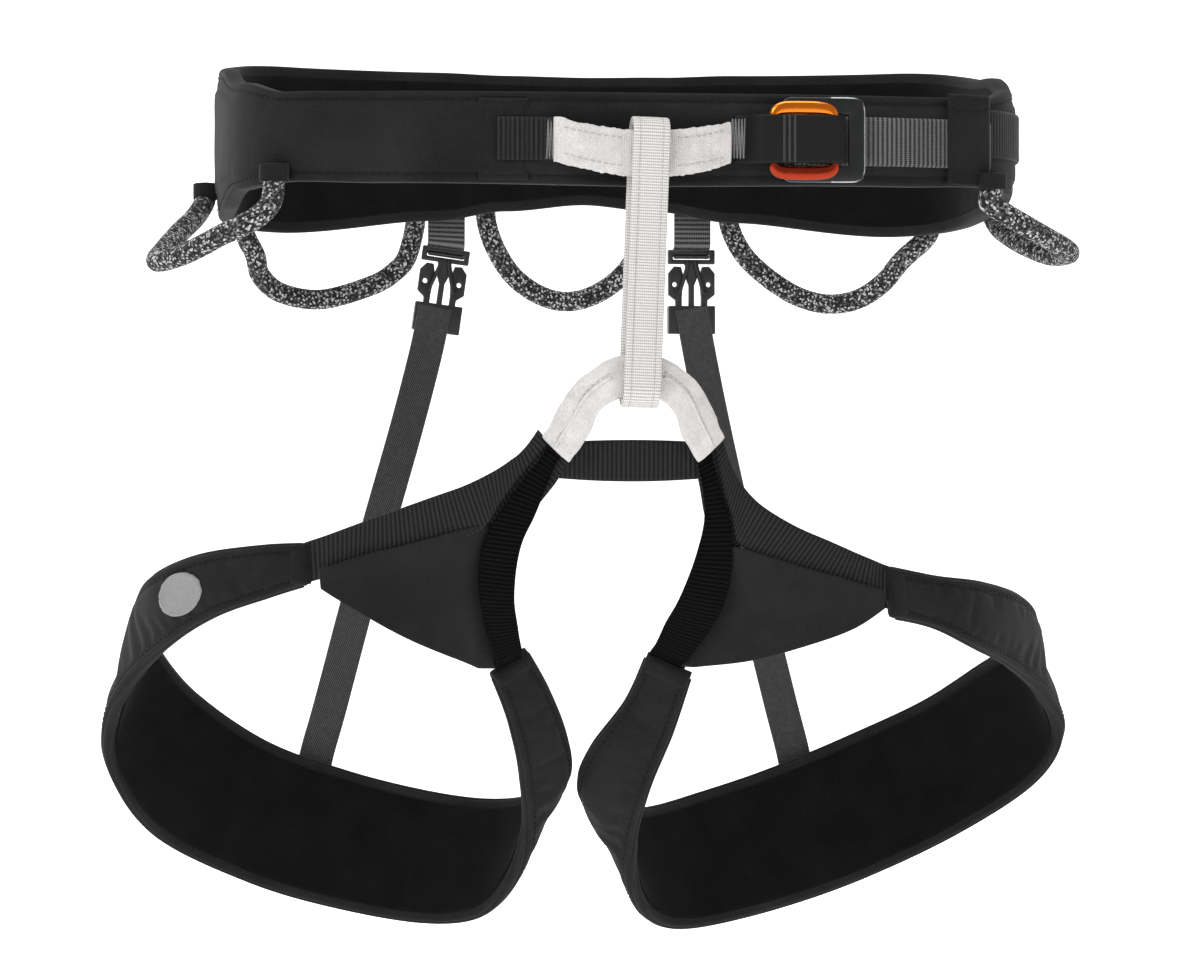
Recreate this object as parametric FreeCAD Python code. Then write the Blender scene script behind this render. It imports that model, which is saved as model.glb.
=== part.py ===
import FreeCAD, Part
import math
import os

# Climbing harness, size M. The origin is the centre of the wearer's waist, level with the middle
# of the front of the belt. -Y is the wearer's front, +Z is up, -X is the wearer's right side.

V = FreeCAD.Vector
SIDES = (("right", -1), ("left", 1))

# ---- waist belt --------------------------------------------------------------------------------
BELT_HALF_WIDTH = 166.5
BELT_HALF_DEPTH = 97.0
FRONT_SQUARENESS = 3.7          # superellipse exponent of the front half of the belt's plan
REAR_SQUARENESS = 3.6
BELT_STEPS = 72
SHELL = 1.0                     # thickness of an outer or lining fabric
BELT_WEBBING = 1.2
BELT_THICKNESS = 8.4
# angle round the belt from the front, height of the lower edge, height of the upper edge
BELT_EDGES = [(0, -19, 19), (50, -18, 19), (62, -17, 19.5), (73, -19, 25), (88, -25, 34), (120, -30, 42.5),
              (145, -23.5, 42), (160, -19, 41), (180, -16, 40.5)]

# ---- webbing -----------------------------------------------------------------------------------
STRAP_HALF = 10.0               # half the width of the 20 mm waist strap
STRAP = 1.4                     # thickness of one layer of strap
STITCH_GAP = 0.3                # air between layers that are sewn on top of each other
PATCH = 0.6                     # thickness of a sewn-on patch
PATCH_X = (-68.0, -48.0)
PATCH_Z = (-17.0, 16.0)
TIE_IN_WEBBING = (1.2, 2.8)     # from the belt, the two faces of the webbing beside the tie-in sleeve
RIGHT_WEBBING = (-61.0, -40.5, -9.0, 8.5)
LEFT_WEBBING = (41.0, 47.0, -9.3, 9.3)
BARTACK_OUT = 3.6
RIGHT_BARTACK = (-40.2, -36.4, -8.5, 7.5)
LEFT_BARTACK = (36.4, 40.7, -8.0, 8.5)
WAIST_STRAP_X = (58.0, 146.0)
KEEPER = (126.0, 144.0, -11.0, 20.0)
TAIL_X = 147.0
TAIL_END_ANGLE = 85.0
TAIL_Z = (-5.0, 15.0)

# ---- upper tie-in point ------------------------------------------------------------------------
SLEEVE_REACH = 36.0
SLEEVE_END = (-101.2, -0.8)     # Y and Z of the sleeve's middle at its two sewn ends
SLEEVE_CROWN = (-107.5, -6.6)   # and half way between them, clear of the belt for the belay loop
SLEEVE_HALF_HEIGHT = (8.8, 9.5)
SLEEVE_HALF_THICK = 2.6
SLEEVE_SKIN = 0.7

# ---- belay loop --------------------------------------------------------------------------------
LOOP_Y = -107.5
LOOP_HALF_WIDTH = 7.5
LOOP_INNER = 5.0                # radius inside the loop's two bends
LOOP_LAYER = 1.6                # two layers of webbing
LOOP_TOP = 0.0                  # height of the centre of the upper bend
LOOP_LENGTH = 100.8             # distance between the centres of the two bends
LOOP_LEAN = 2.2                 # degrees, the loop hangs a little to the wearer's right

# ---- waist buckle ------------------------------------------------------------------------------
FRAME_X = (55.0, 89.0)
FRAME_HALF_HEIGHT = 17.2
FRAME_Y = (-103.6, -101.0)
FRAME_WINDOW = (60.0, 82.4, 10.4)
FRAME_CORNER = 4.0
SLIDER_X = (48.0, 78.0)
SLIDER_HALF_HEIGHT = 16.0
SLIDER_Y = (-106.6, -104.0)
SLIDER_WINDOW = (53.0, 73.4, 10.0)
SLIDER_CORNER = 2.5
WRAP_HALF = 9.6                 # the webbing that wraps the buckle: half width, then its three runs
WRAP_FRONT = ((50.0, 80.2), (-108.4, -107.0))
WRAP_TURN = ((78.8, 80.2), (-107.0, -102.0))
WRAP_BACK = ((62.0, 78.8), (-103.4, -102.0))

# ---- gear loops --------------------------------------------------------------------------------
GEAR_RADIUS = 4.4
GEAR_CORE = 3.0
GEAR_SIDES = 8
GEAR_CLEAR = 0.7                # air between a gear loop and the belt
TAB_HEIGHT = 12.0
TAB_TOP = -11.4                 # a tab under the waist strap ends below it
TAB_THICKNESS = 3.0
TAB_HALF_ANGLE = 1.6
# centre line of each gear loop from one sewn end to the other
GEAR_LOOPS = {
    "front_right": [(-147.5, -78, -18), (-150.5, -82, -25.5), (-155, -84, -31), (-161.5, -82, -35),
                    (-170.5, -76, -39), (-179, -67, -43.5), (-187.5, -56, -47), (-194.5, -42, -48),
                    (-191, -26, -43), (-183.5, -6, -34.5), (-176, 12, -27), (-170, 28, -19.5)],
    "front_left": [(141.5, -78, -19), (145, -82, -23.5), (152.5, -82, -28.5), (162, -77, -33),
                   (172, -68, -37), (182.5, -55, -40.5), (188, -42, -42.5), (184.5, -26, -42.5),
                   (179.5, -10, -39), (175, 6, -34), (170.5, 20, -28), (167, 34, -19)],
    "rear_right": [(-146, 70, -23), (-146.5, 75, -32), (-146, 81, -40), (-143.5, 87, -48),
                   (-134, 93, -55.5), (-115.5, 99, -58), (-93, 103, -51.5), (-83, 105, -45.5),
                   (-77.5, 105, -39), (-74.2, 104.5, -27), (-74, 102, -15.5)],
    "rear_left": [(66.5, 102, -13), (67, 103, -23.5), (71.5, 104, -33.5), (78, 104, -41.5),
                  (88.5, 103, -50), (99, 101, -56), (111, 97, -59), (123, 91, -57), (133, 84, -50),
                  (140.5, 77, -40), (145, 73, -30), (145.5, 70, -21.5)],
    "centre": [(-42.5, 102, -11), (-42, 103.5, -23), (-37.5, 105, -35.5), (-29.5, 107, -47),
               (-18, 109, -55), (-5.5, 110, -58), (7, 109, -55), (18.5, 107, -47), (26.5, 105, -35.5),
               (31, 103.5, -23), (31.5, 102, -11)]}

# ---- risers ------------------------------------------------------------------------------------
RISER_X = {"right": -60.5, "left": 49.5}
RISER_LEAN = {"right": 8.0, "left": 0.0}    # degrees that the hanging buckle leans to the wearer's right
RISER_HALF = 8.2
RISER_TOP = 8.0
RISER_WEBBING_Y = (97.8, 99.0)
BUCKLE_TOP = -35.0
BUCKLE_Y = (99.4, 102.6)
BUCKLE_HALF = 10.5
BAR_HEIGHT = 6.4
BAR_SLOT = (8.4, 2.2, 4.4)      # half width, and depth of the slot's two edges below the bar's top
PRONG_PIVOT = (5.2, -44.0)      # from the buckle's middle, and height
EAR_HOLE = 1.1
SOCKET_DEPTH = (25.0, 37.5)     # mouth and bottom of the socket, below the bar's top
SOCKET_BAR = 3.4
SOCKET_WALL = 1.3
SOCKET_GAP = 0.35
SOCKET_HALF = 8.2
ELASTIC = 1.4
ELASTIC_HALF = 7.4
ELASTIC_ROUTES = {
    "right": [(-65.5, 97, -61), (-70, 95.5, -82), (-79, 91, -115), (-91, 84.5, -155), (-102.5, 76.5, -194),
              (-114.5, 67, -236), (-121, 63, -258), (-123.5, 63, -274)],
    "left": [(49, 97, -61), (52.5, 95.5, -82), (58.5, 91, -115), (66.5, 84.5, -155), (75, 76.5, -194),
             (84, 67, -236), (89, 63, -258), (91.5, 63, -274)]}

# ---- leg loops ---------------------------------------------------------------------------------
# Each station is a point on the upper edge and one on the lower edge, with X outwards from the
# middle of the harness. The two loops hang differently: the left one lower and nearer the middle.
PAD_THICKNESS = 7.5
PADS = {
    "right": [((137, -88, -164), (137, -88, -180)), ((155.5, -81, -165), (154, -81, -185.5)),
              ((179.5, -65, -169), (173, -66, -193)), ((196.5, -43, -176.5), (189.5, -46, -203.5)),
              ((202, -18, -185), (205, -18, -218)), ((201, 8, -196), (215, 8, -236)),
              ((194, 26, -208), (214, 28, -259)), ((176, 44, -228.5), (193, 47, -288.5)),
              ((144, 56, -250.5), (150.5, 59, -310.5)), ((108, 60, -264), (111, 60, -322.5)),
              ((76, 55, -272), (74, 53, -328.5)), ((48, 38, -275.5), (50, 36, -325)),
              ((28, 15, -273), (38.5, 14, -310.5)), ((18, -8, -263), (35.5, -8, -289.5)),
              ((21.5, -26, -246), (40, -29, -264)), ((31, -41, -226), (47, -44, -240)),
              ((41.5, -51, -209), (56, -54.5, -219))],
    "left": [((102, -88, -173.5), (105, -88, -194)), ((125, -81, -178), (124.5, -81, -198.5)),
             ((149, -65, -181), (146.5, -66, -208)), ((169.5, -43, -187), (164.5, -46, -216)),
             ((180, -18, -196), (186, -18, -229)), ((179, 8, -206), (199, 8, -246)),
             ((166, 26, -217), (190, 28, -268)), ((144, 44, -234), (159, 47, -291.5)),
             ((112, 56, -250), (118, 59, -312)), ((76, 60, -265), (79, 60, -325)),
             ((44, 55, -274.5), (42, 53, -332)), ((16, 38, -280), (20, 36, -328.5)),
             ((-7.5, 15, -277.5), (8, 14, -314)), ((-17.5, -8, -267.5), (6, -8, -294.5)),
             ((-13.5, -26, -251), (10, -29, -269)), ((-1, -41, -231), (17.5, -44, -245)),
             ((6, -51, -213), (24, -54.5, -221.5))]}
OUTER_STRAPS = {
    "right": [((46, -91, -124), (43, -91, -127.5)), ((53, -91, -129), (51, -91, -137)),
              ((60.5, -91, -134), (58.5, -91, -147)), ((72.5, -91, -140), (66, -90.5, -158)),
              ((86.5, -90.5, -145), (83, -90, -164.5)), ((100.5, -90, -150), (99, -89.5, -168.5)),
              ((114.5, -89.5, -155), (115, -89, -173)), ((133.5, -89, -162), (132.5, -88.5, -178.5))],
    "left": [((34, -91, -125.5), (30.5, -91, -130)), ((36.5, -91, -132.5), (33, -91, -141.5)),
             ((40.5, -91, -139.5), (36.5, -91, -153)), ((48.5, -91, -148), (39.5, -90.5, -164)),
             ((62.5, -90.5, -156.5), (52, -90, -171)), ((77.5, -90, -163), (68, -89.5, -176.5)),
             ((89, -89.5, -168), (84, -89, -181.5)), ((99, -89, -172), (98.5, -88.5, -186.5))]}
INNER_STRAPS = {
    "right": [((42, -91, -129), (36.5, -91, -133)), ((49.5, -91, -138.5), (40.5, -91, -143)),
              ((57.5, -90.5, -149.5), (44.5, -90, -153)), ((64, -89, -161), (49, -88, -163)),
              ((66.5, -85, -172), (51, -84, -174)), ((65.5, -79, -186), (51, -77, -187)),
              ((62, -70, -199), (48.5, -68, -198)), ((57, -60.5, -211), (46, -58.5, -206.5))],
    "left": [((29, -91, -131.5), (23, -91, -135)), ((32, -91, -142.5), (24.5, -91, -144)),
             ((35.5, -90.5, -154.5), (25, -90, -155)), ((37, -89, -167), (22.5, -88, -167)),
             ((36.5, -85, -180), (19.5, -84, -177.5)), ((34, -79, -191.5), (16, -77, -188)),
             ((29.5, -70, -201.5), (12.5, -68, -196.5)), ((24, -61, -211), (10, -58.5, -205))]}
PANELS = {
    "right": [((132, -88.5, -176), (131.5, -88, -181.5)), ((115, -88.5, -170), (119, -85.5, -189)),
              ((99, -88.5, -166), (98, -79.5, -200.5)), ((82, -88.5, -161), (78, -69.5, -209)),
              ((69, -87.5, -157), (65.5, -54.5, -214))],
    "left": [((100, -88.5, -185.5), (100, -88, -190)), ((84, -88.5, -180), (87, -85, -198.5)),
             ((68, -88.5, -175.5), (66, -79.5, -206)), ((52, -88.5, -170), (46, -70, -211.5)),
             ((41, -87.5, -166), (28, -54.5, -214))]}
STRAP_LEG = 2.0
PANEL_BACK = (3.6, 4.4)         # the panel's two faces, behind the front of the straps

# ---- lower tie-in point ------------------------------------------------------------------------
ARCH_SHIFT = -4.5
ARCH_HALF_THICK = 1.9
# half of the arch from its top down to its foot: outer edge, inner edge, and Y
ARCH = [((0, -87.3), (0, -104.3), -107.5), ((9, -88.3), (7, -105), -107), ((17, -92.5), (12, -107.5), -105.5),
        ((25, -99), (16, -112), -103), ((31.5, -109), (19.5, -121), -99), ((37, -120.5), (26.5, -130.5), -94)]
BRIDGE_HALF = 23.5
BRIDGE_Z = (-138.5, -122.0)
BRIDGE_Y = (-90.0, -88.0)


def smooth(points, parts):
    """Points on a Catmull-Rom curve through the given points, each span cut into parts."""
    result = []
    last = len(points) - 1
    for i in range(last):
        p0 = points[max(i - 1, 0)]
        p1 = points[i]
        p2 = points[i + 1]
        p3 = points[min(i + 2, last)]
        for k in range(parts):
            t = k / parts
            result.append(tuple(0.5 * (2 * b + (c - a) * t + (2 * a - 5 * b + 4 * c - d) * t ** 2
                                       + (3 * b - a - 3 * c + d) * t ** 3)
                                for a, b, c, d in zip(p0, p1, p2, p3)))
    result.append(tuple(points[-1]))
    return result


def closed_solid(triangles):
    """A solid from triangles that close on each other."""
    faces = []
    for a, b, c in triangles:
        faces.append(Part.Face(Part.makePolygon([a, b, c, a])))
    solid = Part.Solid(Part.Shell(faces))
    if solid.Volume < 0:
        solid.reverse()
    return solid


def quad(a, b, c, d):
    return [(a, b, c), (a, c, d)]


def slab(front, back, closed=False):
    """A layer between two grids of points. Layers that share a grid touch exactly."""
    triangles = []
    rows = len(front)
    columns = len(front[0])
    for i in range(rows if closed else rows - 1):
        n = (i + 1) % rows
        for j in range(columns - 1):
            triangles += quad(front[i][j], front[n][j], front[n][j + 1], front[i][j + 1])
            triangles += [(c, b, a) for a, b, c in
                          quad(back[i][j], back[n][j], back[n][j + 1], back[i][j + 1])]
        triangles += quad(front[n][0], front[i][0], back[i][0], back[n][0])
        triangles += quad(front[i][-1], front[n][-1], back[n][-1], back[i][-1])
    if not closed:
        for j in range(columns - 1):
            triangles += quad(front[0][j], front[0][j + 1], back[0][j + 1], back[0][j])
            triangles += quad(front[-1][j + 1], front[-1][j], back[-1][j], back[-1][j + 1])
    return closed_solid(triangles)


def skin(rings):
    """A solid through rings of points, with flat fan ends."""
    triangles = []
    sides = len(rings[0])
    for first, second in zip(rings, rings[1:]):
        for j in range(sides):
            n = (j + 1) % sides
            triangles += quad(first[j], first[n], second[n], second[j])
    for j in range(1, sides - 1):
        triangles.append((rings[0][0], rings[0][j + 1], rings[0][j]))
        triangles.append((rings[-1][0], rings[-1][j], rings[-1][j + 1]))
    return closed_solid(triangles)


def hollow(outer, inner):
    """A sleeve between two stacks of rings, open at both ends."""
    triangles = []
    sides = len(outer[0])
    for k in range(len(outer) - 1):
        for j in range(sides):
            n = (j + 1) % sides
            triangles += quad(outer[k][j], outer[k][n], outer[k + 1][n], outer[k + 1][j])
            triangles += [(c, b, a) for a, b, c in
                          quad(inner[k][j], inner[k][n], inner[k + 1][n], inner[k + 1][j])]
    for j in range(sides):
        n = (j + 1) % sides
        triangles += quad(outer[0][n], outer[0][j], inner[0][j], inner[0][n])
        triangles += quad(outer[-1][j], outer[-1][n], inner[-1][n], inner[-1][j])
    return closed_solid(triangles)


def oval(centre, across, through, half_width, half_thick, sides):
    """A ring of points on an ellipse."""
    ring = []
    for k in range(sides):
        angle = 2 * math.pi * (k + 0.5) / sides
        ring.append(centre + across * (half_width * math.sin(angle))
                    + through * (half_thick * math.cos(angle)))
    return ring


def box(x0, x1, y0, y1, z0, z1):
    return Part.makeBox(x1 - x0, y1 - y0, z1 - z0, V(x0, y0, z0))


def outline_plate(points, y0, y1):
    """A flat plate with an outline in X and Z, between two values of Y."""
    corners = [V(x, y0, z) for x, z in points]
    face = Part.Face(Part.makePolygon(corners + corners[:1]))
    return face.extrude(V(0, y1 - y0, 0))


def save(name, shape):
    """Write one sub-part. Separate solids stay separate."""
    if not shape.isValid():
        raise ValueError(name + " is not a valid shape")
    shape.exportStep(os.path.join("parts", name + ".step"))


# ---- shapes that follow the belt ---------------------------------------------------------------

def belt_plan(angle, out):
    """A point of the belt's outer surface, moved outwards, at an angle in degrees from the front."""
    a = math.radians(angle)
    sx = math.sin(a)
    cy = -math.cos(a)
    power = FRONT_SQUARENESS if cy < 0 else REAR_SQUARENESS
    reach = (abs(sx) / BELT_HALF_WIDTH) ** power + (abs(cy) / BELT_HALF_DEPTH) ** power
    radius = reach ** (-1 / power)
    x = radius * sx
    y = radius * cy
    nx = math.copysign((abs(x) / BELT_HALF_WIDTH) ** (power - 1) / BELT_HALF_WIDTH, x)
    ny = math.copysign((abs(y) / BELT_HALF_DEPTH) ** (power - 1) / BELT_HALF_DEPTH, y)
    size = math.hypot(nx, ny)
    return x + out * nx / size, y + out * ny / size


def belt_edge(angle, which):
    """Height of the belt's lower (1) or upper (2) edge at an angle from the front."""
    turn = abs((angle + 180) % 360 - 180)
    for first, second in zip(BELT_EDGES, BELT_EDGES[1:]):
        if turn <= second[0]:
            t = (turn - first[0]) / (second[0] - first[0])
            blend = t * t * (3 - 2 * t)
            return first[which] + (second[which] - first[which]) * blend
    return BELT_EDGES[-1][which]


def belt_layer(out0, out1, low, high):
    """A closed band round the belt between two offsets from its outer surface."""
    grids = []
    for out in (out0, out1):
        grid = []
        for i in range(BELT_STEPS):
            angle = 360.0 * i / BELT_STEPS
            x, y = belt_plan(angle, out)
            grid.append([V(x, y, low(angle)), V(x, y, high(angle))])
        grids.append(grid)
    return slab(grids[0], grids[1], closed=True)


def front_angle(x):
    """The angle from the front at which the belt's outer surface has this X."""
    y = BELT_HALF_DEPTH * (1 - (abs(x) / BELT_HALF_WIDTH) ** FRONT_SQUARENESS) ** (1 / FRONT_SQUARENESS)
    return math.degrees(math.atan2(x, y))


def belt_patch(angle0, angle1, low, high, out0, out1, steps):
    """A strap or patch that lies on the belt's outer surface."""
    grids = []
    for out in (out0, out1):
        grid = []
        for i in range(steps + 1):
            x, y = belt_plan(angle0 + (angle1 - angle0) * i / steps, out)
            grid.append([V(x, y, low), V(x, y, high)])
        grids.append(grid)
    return slab(grids[0], grids[1])


def belt_middle(angle):
    return (belt_edge(angle, 1) + belt_edge(angle, 2)) / 2


def make_belt():
    foam_out = -SHELL - BELT_WEBBING
    lining_out = SHELL - BELT_THICKNESS

    def low(angle):
        return belt_edge(angle, 1)

    def high(angle):
        return belt_edge(angle, 2)

    save("belt_outer_shell", belt_layer(0, -SHELL, low, high))
    save("belt_load_webbing", belt_layer(-SHELL, foam_out, lambda a: belt_middle(a) - STRAP_HALF,
                                         lambda a: belt_middle(a) + STRAP_HALF))
    save("belt_foam_core", belt_layer(foam_out, lining_out, low, high))
    save("belt_inner_lining", belt_layer(lining_out, -BELT_THICKNESS, low, high))


def front_patch(x0, x1, low, high, out0, out1, steps):
    """A patch on the front of the belt between two values of X."""
    return belt_patch(front_angle(x0), front_angle(x1), low, high, out0, out1, steps)


def make_belt_straps():
    save("belt_reinforcement_patch", front_patch(*PATCH_X, *PATCH_Z, STITCH_GAP, STITCH_GAP + PATCH, 4))
    save("tie_in_webbing_left", front_patch(*RIGHT_WEBBING, *TIE_IN_WEBBING, 4))
    save("tie_in_webbing_right", front_patch(*LEFT_WEBBING, *TIE_IN_WEBBING, 2))
    tacks = [front_patch(*side, TIE_IN_WEBBING[0], BARTACK_OUT, 2) for side in (RIGHT_BARTACK, LEFT_BARTACK)]
    save("tie_in_bartacks", Part.Compound(tacks))
    strap_out = STITCH_GAP + STRAP
    save("waist_strap", front_patch(*WAIST_STRAP_X, -STRAP_HALF, STRAP_HALF, STITCH_GAP, strap_out, 16))
    save("strap_keeper", front_patch(*KEEPER, strap_out + STITCH_GAP, strap_out + STITCH_GAP + SHELL, 6))
    tail = belt_patch(front_angle(TAIL_X), TAIL_END_ANGLE, *TAIL_Z, STITCH_GAP, strap_out, 10)
    save("waist_strap_tail", tail)


# ---- upper tie-in point ------------------------------------------------------------------------

def tie_in_rings(shrink):
    rings = []
    for i in range(13):
        x = -SLEEVE_REACH + 2 * SLEEVE_REACH * i / 12
        rise = 1 - (x / SLEEVE_REACH) ** 2
        y, z, half = (end + (crown - end) * rise for end, crown in
                      zip(SLEEVE_END + SLEEVE_HALF_HEIGHT[:1], SLEEVE_CROWN + SLEEVE_HALF_HEIGHT[1:]))
        rings.append(oval(V(x, y, z), V(0, 0, 1), V(0, 1, 0), half - shrink, SLEEVE_HALF_THICK - shrink, 10))
    return rings


def make_tie_in():
    save("tie_in_sleeve", hollow(tie_in_rings(0), tie_in_rings(SLEEVE_SKIN)))
    save("tie_in_webbing_core", skin(tie_in_rings(SLEEVE_SKIN)))


def make_lower_tie_in():
    half = smooth([outer + inner + (y,) for outer, inner, y in ARCH], 2)
    stations = [(-s[0], s[1], -s[2], s[3], s[4]) for s in reversed(half[1:])] + half
    stacks = []
    for shrink in (0, SLEEVE_SKIN):
        rings = []
        for i, (ox, oz, ix, iz, y) in enumerate(stations):
            outer = V(ox + ARCH_SHIFT, y, oz)
            inner = V(ix + ARCH_SHIFT, y, iz)
            before = stations[max(i - 1, 0)]
            after = stations[min(i + 1, len(stations) - 1)]
            along = V(after[0] + after[2] - before[0] - before[2], 2 * (after[4] - before[4]),
                      after[1] + after[3] - before[1] - before[3])
            across = (outer - inner).normalize()
            through = across.cross(along).normalize()
            rings.append(oval((outer + inner) / 2, across, through,
                              (outer - inner).Length / 2 - shrink, ARCH_HALF_THICK - shrink, 10))
        stacks.append(rings)
    save("lower_tie_in_sleeve", hollow(stacks[0], stacks[1]))
    save("lower_tie_in_webbing", skin(stacks[1]))
    save("leg_bridge_webbing", box(ARCH_SHIFT - BRIDGE_HALF, ARCH_SHIFT + BRIDGE_HALF,
                                   BRIDGE_Y[0], BRIDGE_Y[1], BRIDGE_Z[0], BRIDGE_Z[1]))


def loop_layer(inner, outer):
    """A belay loop layer: a stadium in Y and Z, extruded across the loop's width."""
    path = []
    for k in range(13):
        a = math.pi * k / 12
        path.append((math.cos(a), math.sin(a), LOOP_TOP))
    for k in range(13):
        a = math.pi + math.pi * k / 12
        path.append((math.cos(a), math.sin(a), LOOP_TOP - LOOP_LENGTH))
    grids = []
    for radius in (outer, inner):
        grid = []
        for c, s, z in path:
            y = LOOP_Y + radius * c
            grid.append([V(-LOOP_HALF_WIDTH, y, z + radius * s), V(LOOP_HALF_WIDTH, y, z + radius * s)])
        grids.append(grid)
    layer = slab(grids[0], grids[1], closed=True)
    layer.rotate(V(0, LOOP_Y, LOOP_TOP), V(0, 1, 0), LOOP_LEAN)
    return layer


def make_belay_loop():
    middle = LOOP_INNER + LOOP_LAYER
    save("belay_loop_inner_layer", loop_layer(LOOP_INNER, middle))
    save("belay_loop_outer_layer", loop_layer(middle, middle + LOOP_LAYER))


# ---- waist buckle ------------------------------------------------------------------------------

def ring_plate(x, half_height, y, window, corner):
    """A rounded rectangular plate with a window, given as its two X values and its half height."""
    plate = box(x[0], x[1], y[0], y[1], -half_height, half_height)
    upright = [e for e in plate.Edges if abs(e.tangentAt(e.FirstParameter).y) > 0.9]
    plate = plate.makeFillet(corner, upright)
    left, right, half = window
    return plate.cut(box(left, right, y[0] - 1, y[1] + 1, -half, half))


def make_waist_buckle():
    frame = ring_plate(FRAME_X, FRAME_HALF_HEIGHT, FRAME_Y, FRAME_WINDOW, FRAME_CORNER)
    slider = ring_plate(SLIDER_X, SLIDER_HALF_HEIGHT, SLIDER_Y, SLIDER_WINDOW, SLIDER_CORNER)
    save("waist_buckle_frame", frame)
    save("waist_buckle_slider", slider)
    front, turn, back = (box(*x, *y, -WRAP_HALF, WRAP_HALF) for x, y in (WRAP_FRONT, WRAP_TURN, WRAP_BACK))
    save("buckle_webbing", front.fuse(turn).fuse(back).removeSplitter())


# ---- gear loops --------------------------------------------------------------------------------

def tube_rings(points, radius):
    """Rings round a path, each turned with it and never twisted."""
    rings = []
    up = V(0.3, 0.2, 1)
    for i, point in enumerate(points):
        before = points[max(i - 1, 0)]
        after = points[min(i + 1, len(points) - 1)]
        along = (after - before).normalize()
        across = (up - along * up.dot(along)).normalize()
        through = along.cross(across)
        up = across
        rings.append(oval(point, across, through, radius, radius, GEAR_SIDES))
    return rings


def angle_beside_belt(point):
    """The angle at which a gear loop's centre line, lying against the belt, is in line with a point."""
    goal = math.degrees(math.atan2(point.x, -point.y))
    angle = goal
    for _ in range(4):
        x, y = belt_plan(angle, GEAR_RADIUS + GEAR_CLEAR)
        angle += goal - math.degrees(math.atan2(x, -y))
    return angle


def off_belt(point, snap):
    """Keep a gear loop's centre line just clear of the belt. A sewn end snaps to that distance."""
    angle = angle_beside_belt(point)
    x, y = belt_plan(angle, GEAR_RADIUS + GEAR_CLEAR)
    beside = point.z > belt_edge(angle, 1) - GEAR_RADIUS
    if snap or (beside and math.hypot(point.x, point.y) < math.hypot(x, y)):
        return V(x, y, point.z)
    return point


def gear_route(points):
    """Smooth centre line of a gear loop, clear of the belt."""
    last = len(points) - 1
    route = [tuple(off_belt(V(*point), i in (0, last))) for i, point in enumerate(points)]
    return [V(*p) for p in smooth(route, 2)]


def make_gear_loops():
    tabs = []
    for name, points in GEAR_LOOPS.items():
        route = gear_route(points)
        outer = tube_rings(route, GEAR_RADIUS)
        inner = tube_rings(route, GEAR_CORE)
        save("gear_loop_" + name + "_sheath", hollow(outer, inner))
        save("gear_loop_" + name + "_core", skin(inner))
        for end in (route[0], route[-1]):
            angle = angle_beside_belt(end)
            low = end.z + GEAR_RADIUS
            high = low + TAB_HEIGHT
            if end.x > 0 and end.y < 0:
                high = min(high, TAB_TOP)
            tabs.append(belt_patch(angle - TAB_HALF_ANGLE, angle + TAB_HALF_ANGLE, low, high,
                                   STITCH_GAP, TAB_THICKNESS, 3))
    save("gear_loop_anchor_tabs", Part.Compound(tabs))


# ---- risers and their side-release buckles -----------------------------------------------------

def hang(shape, word):
    """Lean a part of a riser's buckle about the middle of the bar that it hangs from."""
    pivot = V(RISER_X[word], BUCKLE_Y[0], BUCKLE_TOP - BAR_HEIGHT / 2)
    shape.rotate(pivot, V(0, 1, 0), RISER_LEAN[word])
    return shape


def male_buckle(x):
    """The bar that the webbing goes round, and the guide between the two prongs."""
    y0, y1 = BUCKLE_Y
    top = BUCKLE_TOP
    slot_half, slot_top, slot_bottom = BAR_SLOT
    bar = box(x - BUCKLE_HALF, x + BUCKLE_HALF, y0, y1, top - BAR_HEIGHT, top)
    slot = box(x - slot_half, x + slot_half, y0 - 1, y1 + 1, top - slot_bottom, top - slot_top)
    half = [(2.9, BAR_HEIGHT), (2.4, 13), (1.2, 16), (1.2, 32)]
    outline = [(x + w, top - d) for w, d in half] + [(x - w, top - d) for w, d in reversed(half)]
    return bar.cut(slot).fuse(outline_plate(outline, y0, y1)).removeSplitter()


def prong(x, side):
    """One squeezable arm of a male buckle: pivot end, ear with a round hole, and barbed tip."""
    y0, y1 = BUCKLE_Y
    px, pz = PRONG_PIVOT
    outline = [(-0.4, 1.4), (2.6, 1.6), (5.2, -1.5), (5.2, -11), (2.0, -13.5), (1.6, -22), (-0.8, -23.5),
               (-0.8, -12), (-1.6, -3)]
    plate = outline_plate([(x + side * (px + dx), pz + dz) for dx, dz in outline], y0, y1)
    hole = Part.makeCylinder(EAR_HOLE, y1 - y0 + 2, V(x + side * (px + 2.4), y0 - 1, pz - 6.5), V(0, 1, 0))
    return plate.cut(hole)


def female_buckle(x):
    """The socket, open at the top and closed by the bar that the elastic is sewn round."""
    y0, y1 = BUCKLE_Y
    mouth, bottom = (BUCKLE_TOP - depth for depth in SOCKET_DEPTH)
    shell = box(x - BUCKLE_HALF, x + BUCKLE_HALF, y0 - SOCKET_WALL, y1 + SOCKET_WALL, bottom, mouth)
    cavity = box(x - SOCKET_HALF, x + SOCKET_HALF, y0 - SOCKET_GAP, y1 + SOCKET_GAP, bottom + SOCKET_BAR,
                 mouth + 1)
    return shell.cut(cavity)


def elastic_grid(word, out):
    """A face of the elastic strap between the socket and the back of the leg pad."""
    route = smooth(ELASTIC_ROUTES[word], 2)
    grid = []
    for i, point in enumerate(route):
        before = V(*route[max(i - 1, 0)])
        after = V(*route[min(i + 1, len(route) - 1)])
        along = (after - before).normalize()
        across = along.cross(V(0, 1, 0)).normalize()
        normal = across.cross(along).normalize()
        if normal.y < 0:
            normal = normal * -1
        grid.append([V(*point) + across * edge + normal * out for edge in (-ELASTIC_HALF, ELASTIC_HALF)])
    return grid


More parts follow.
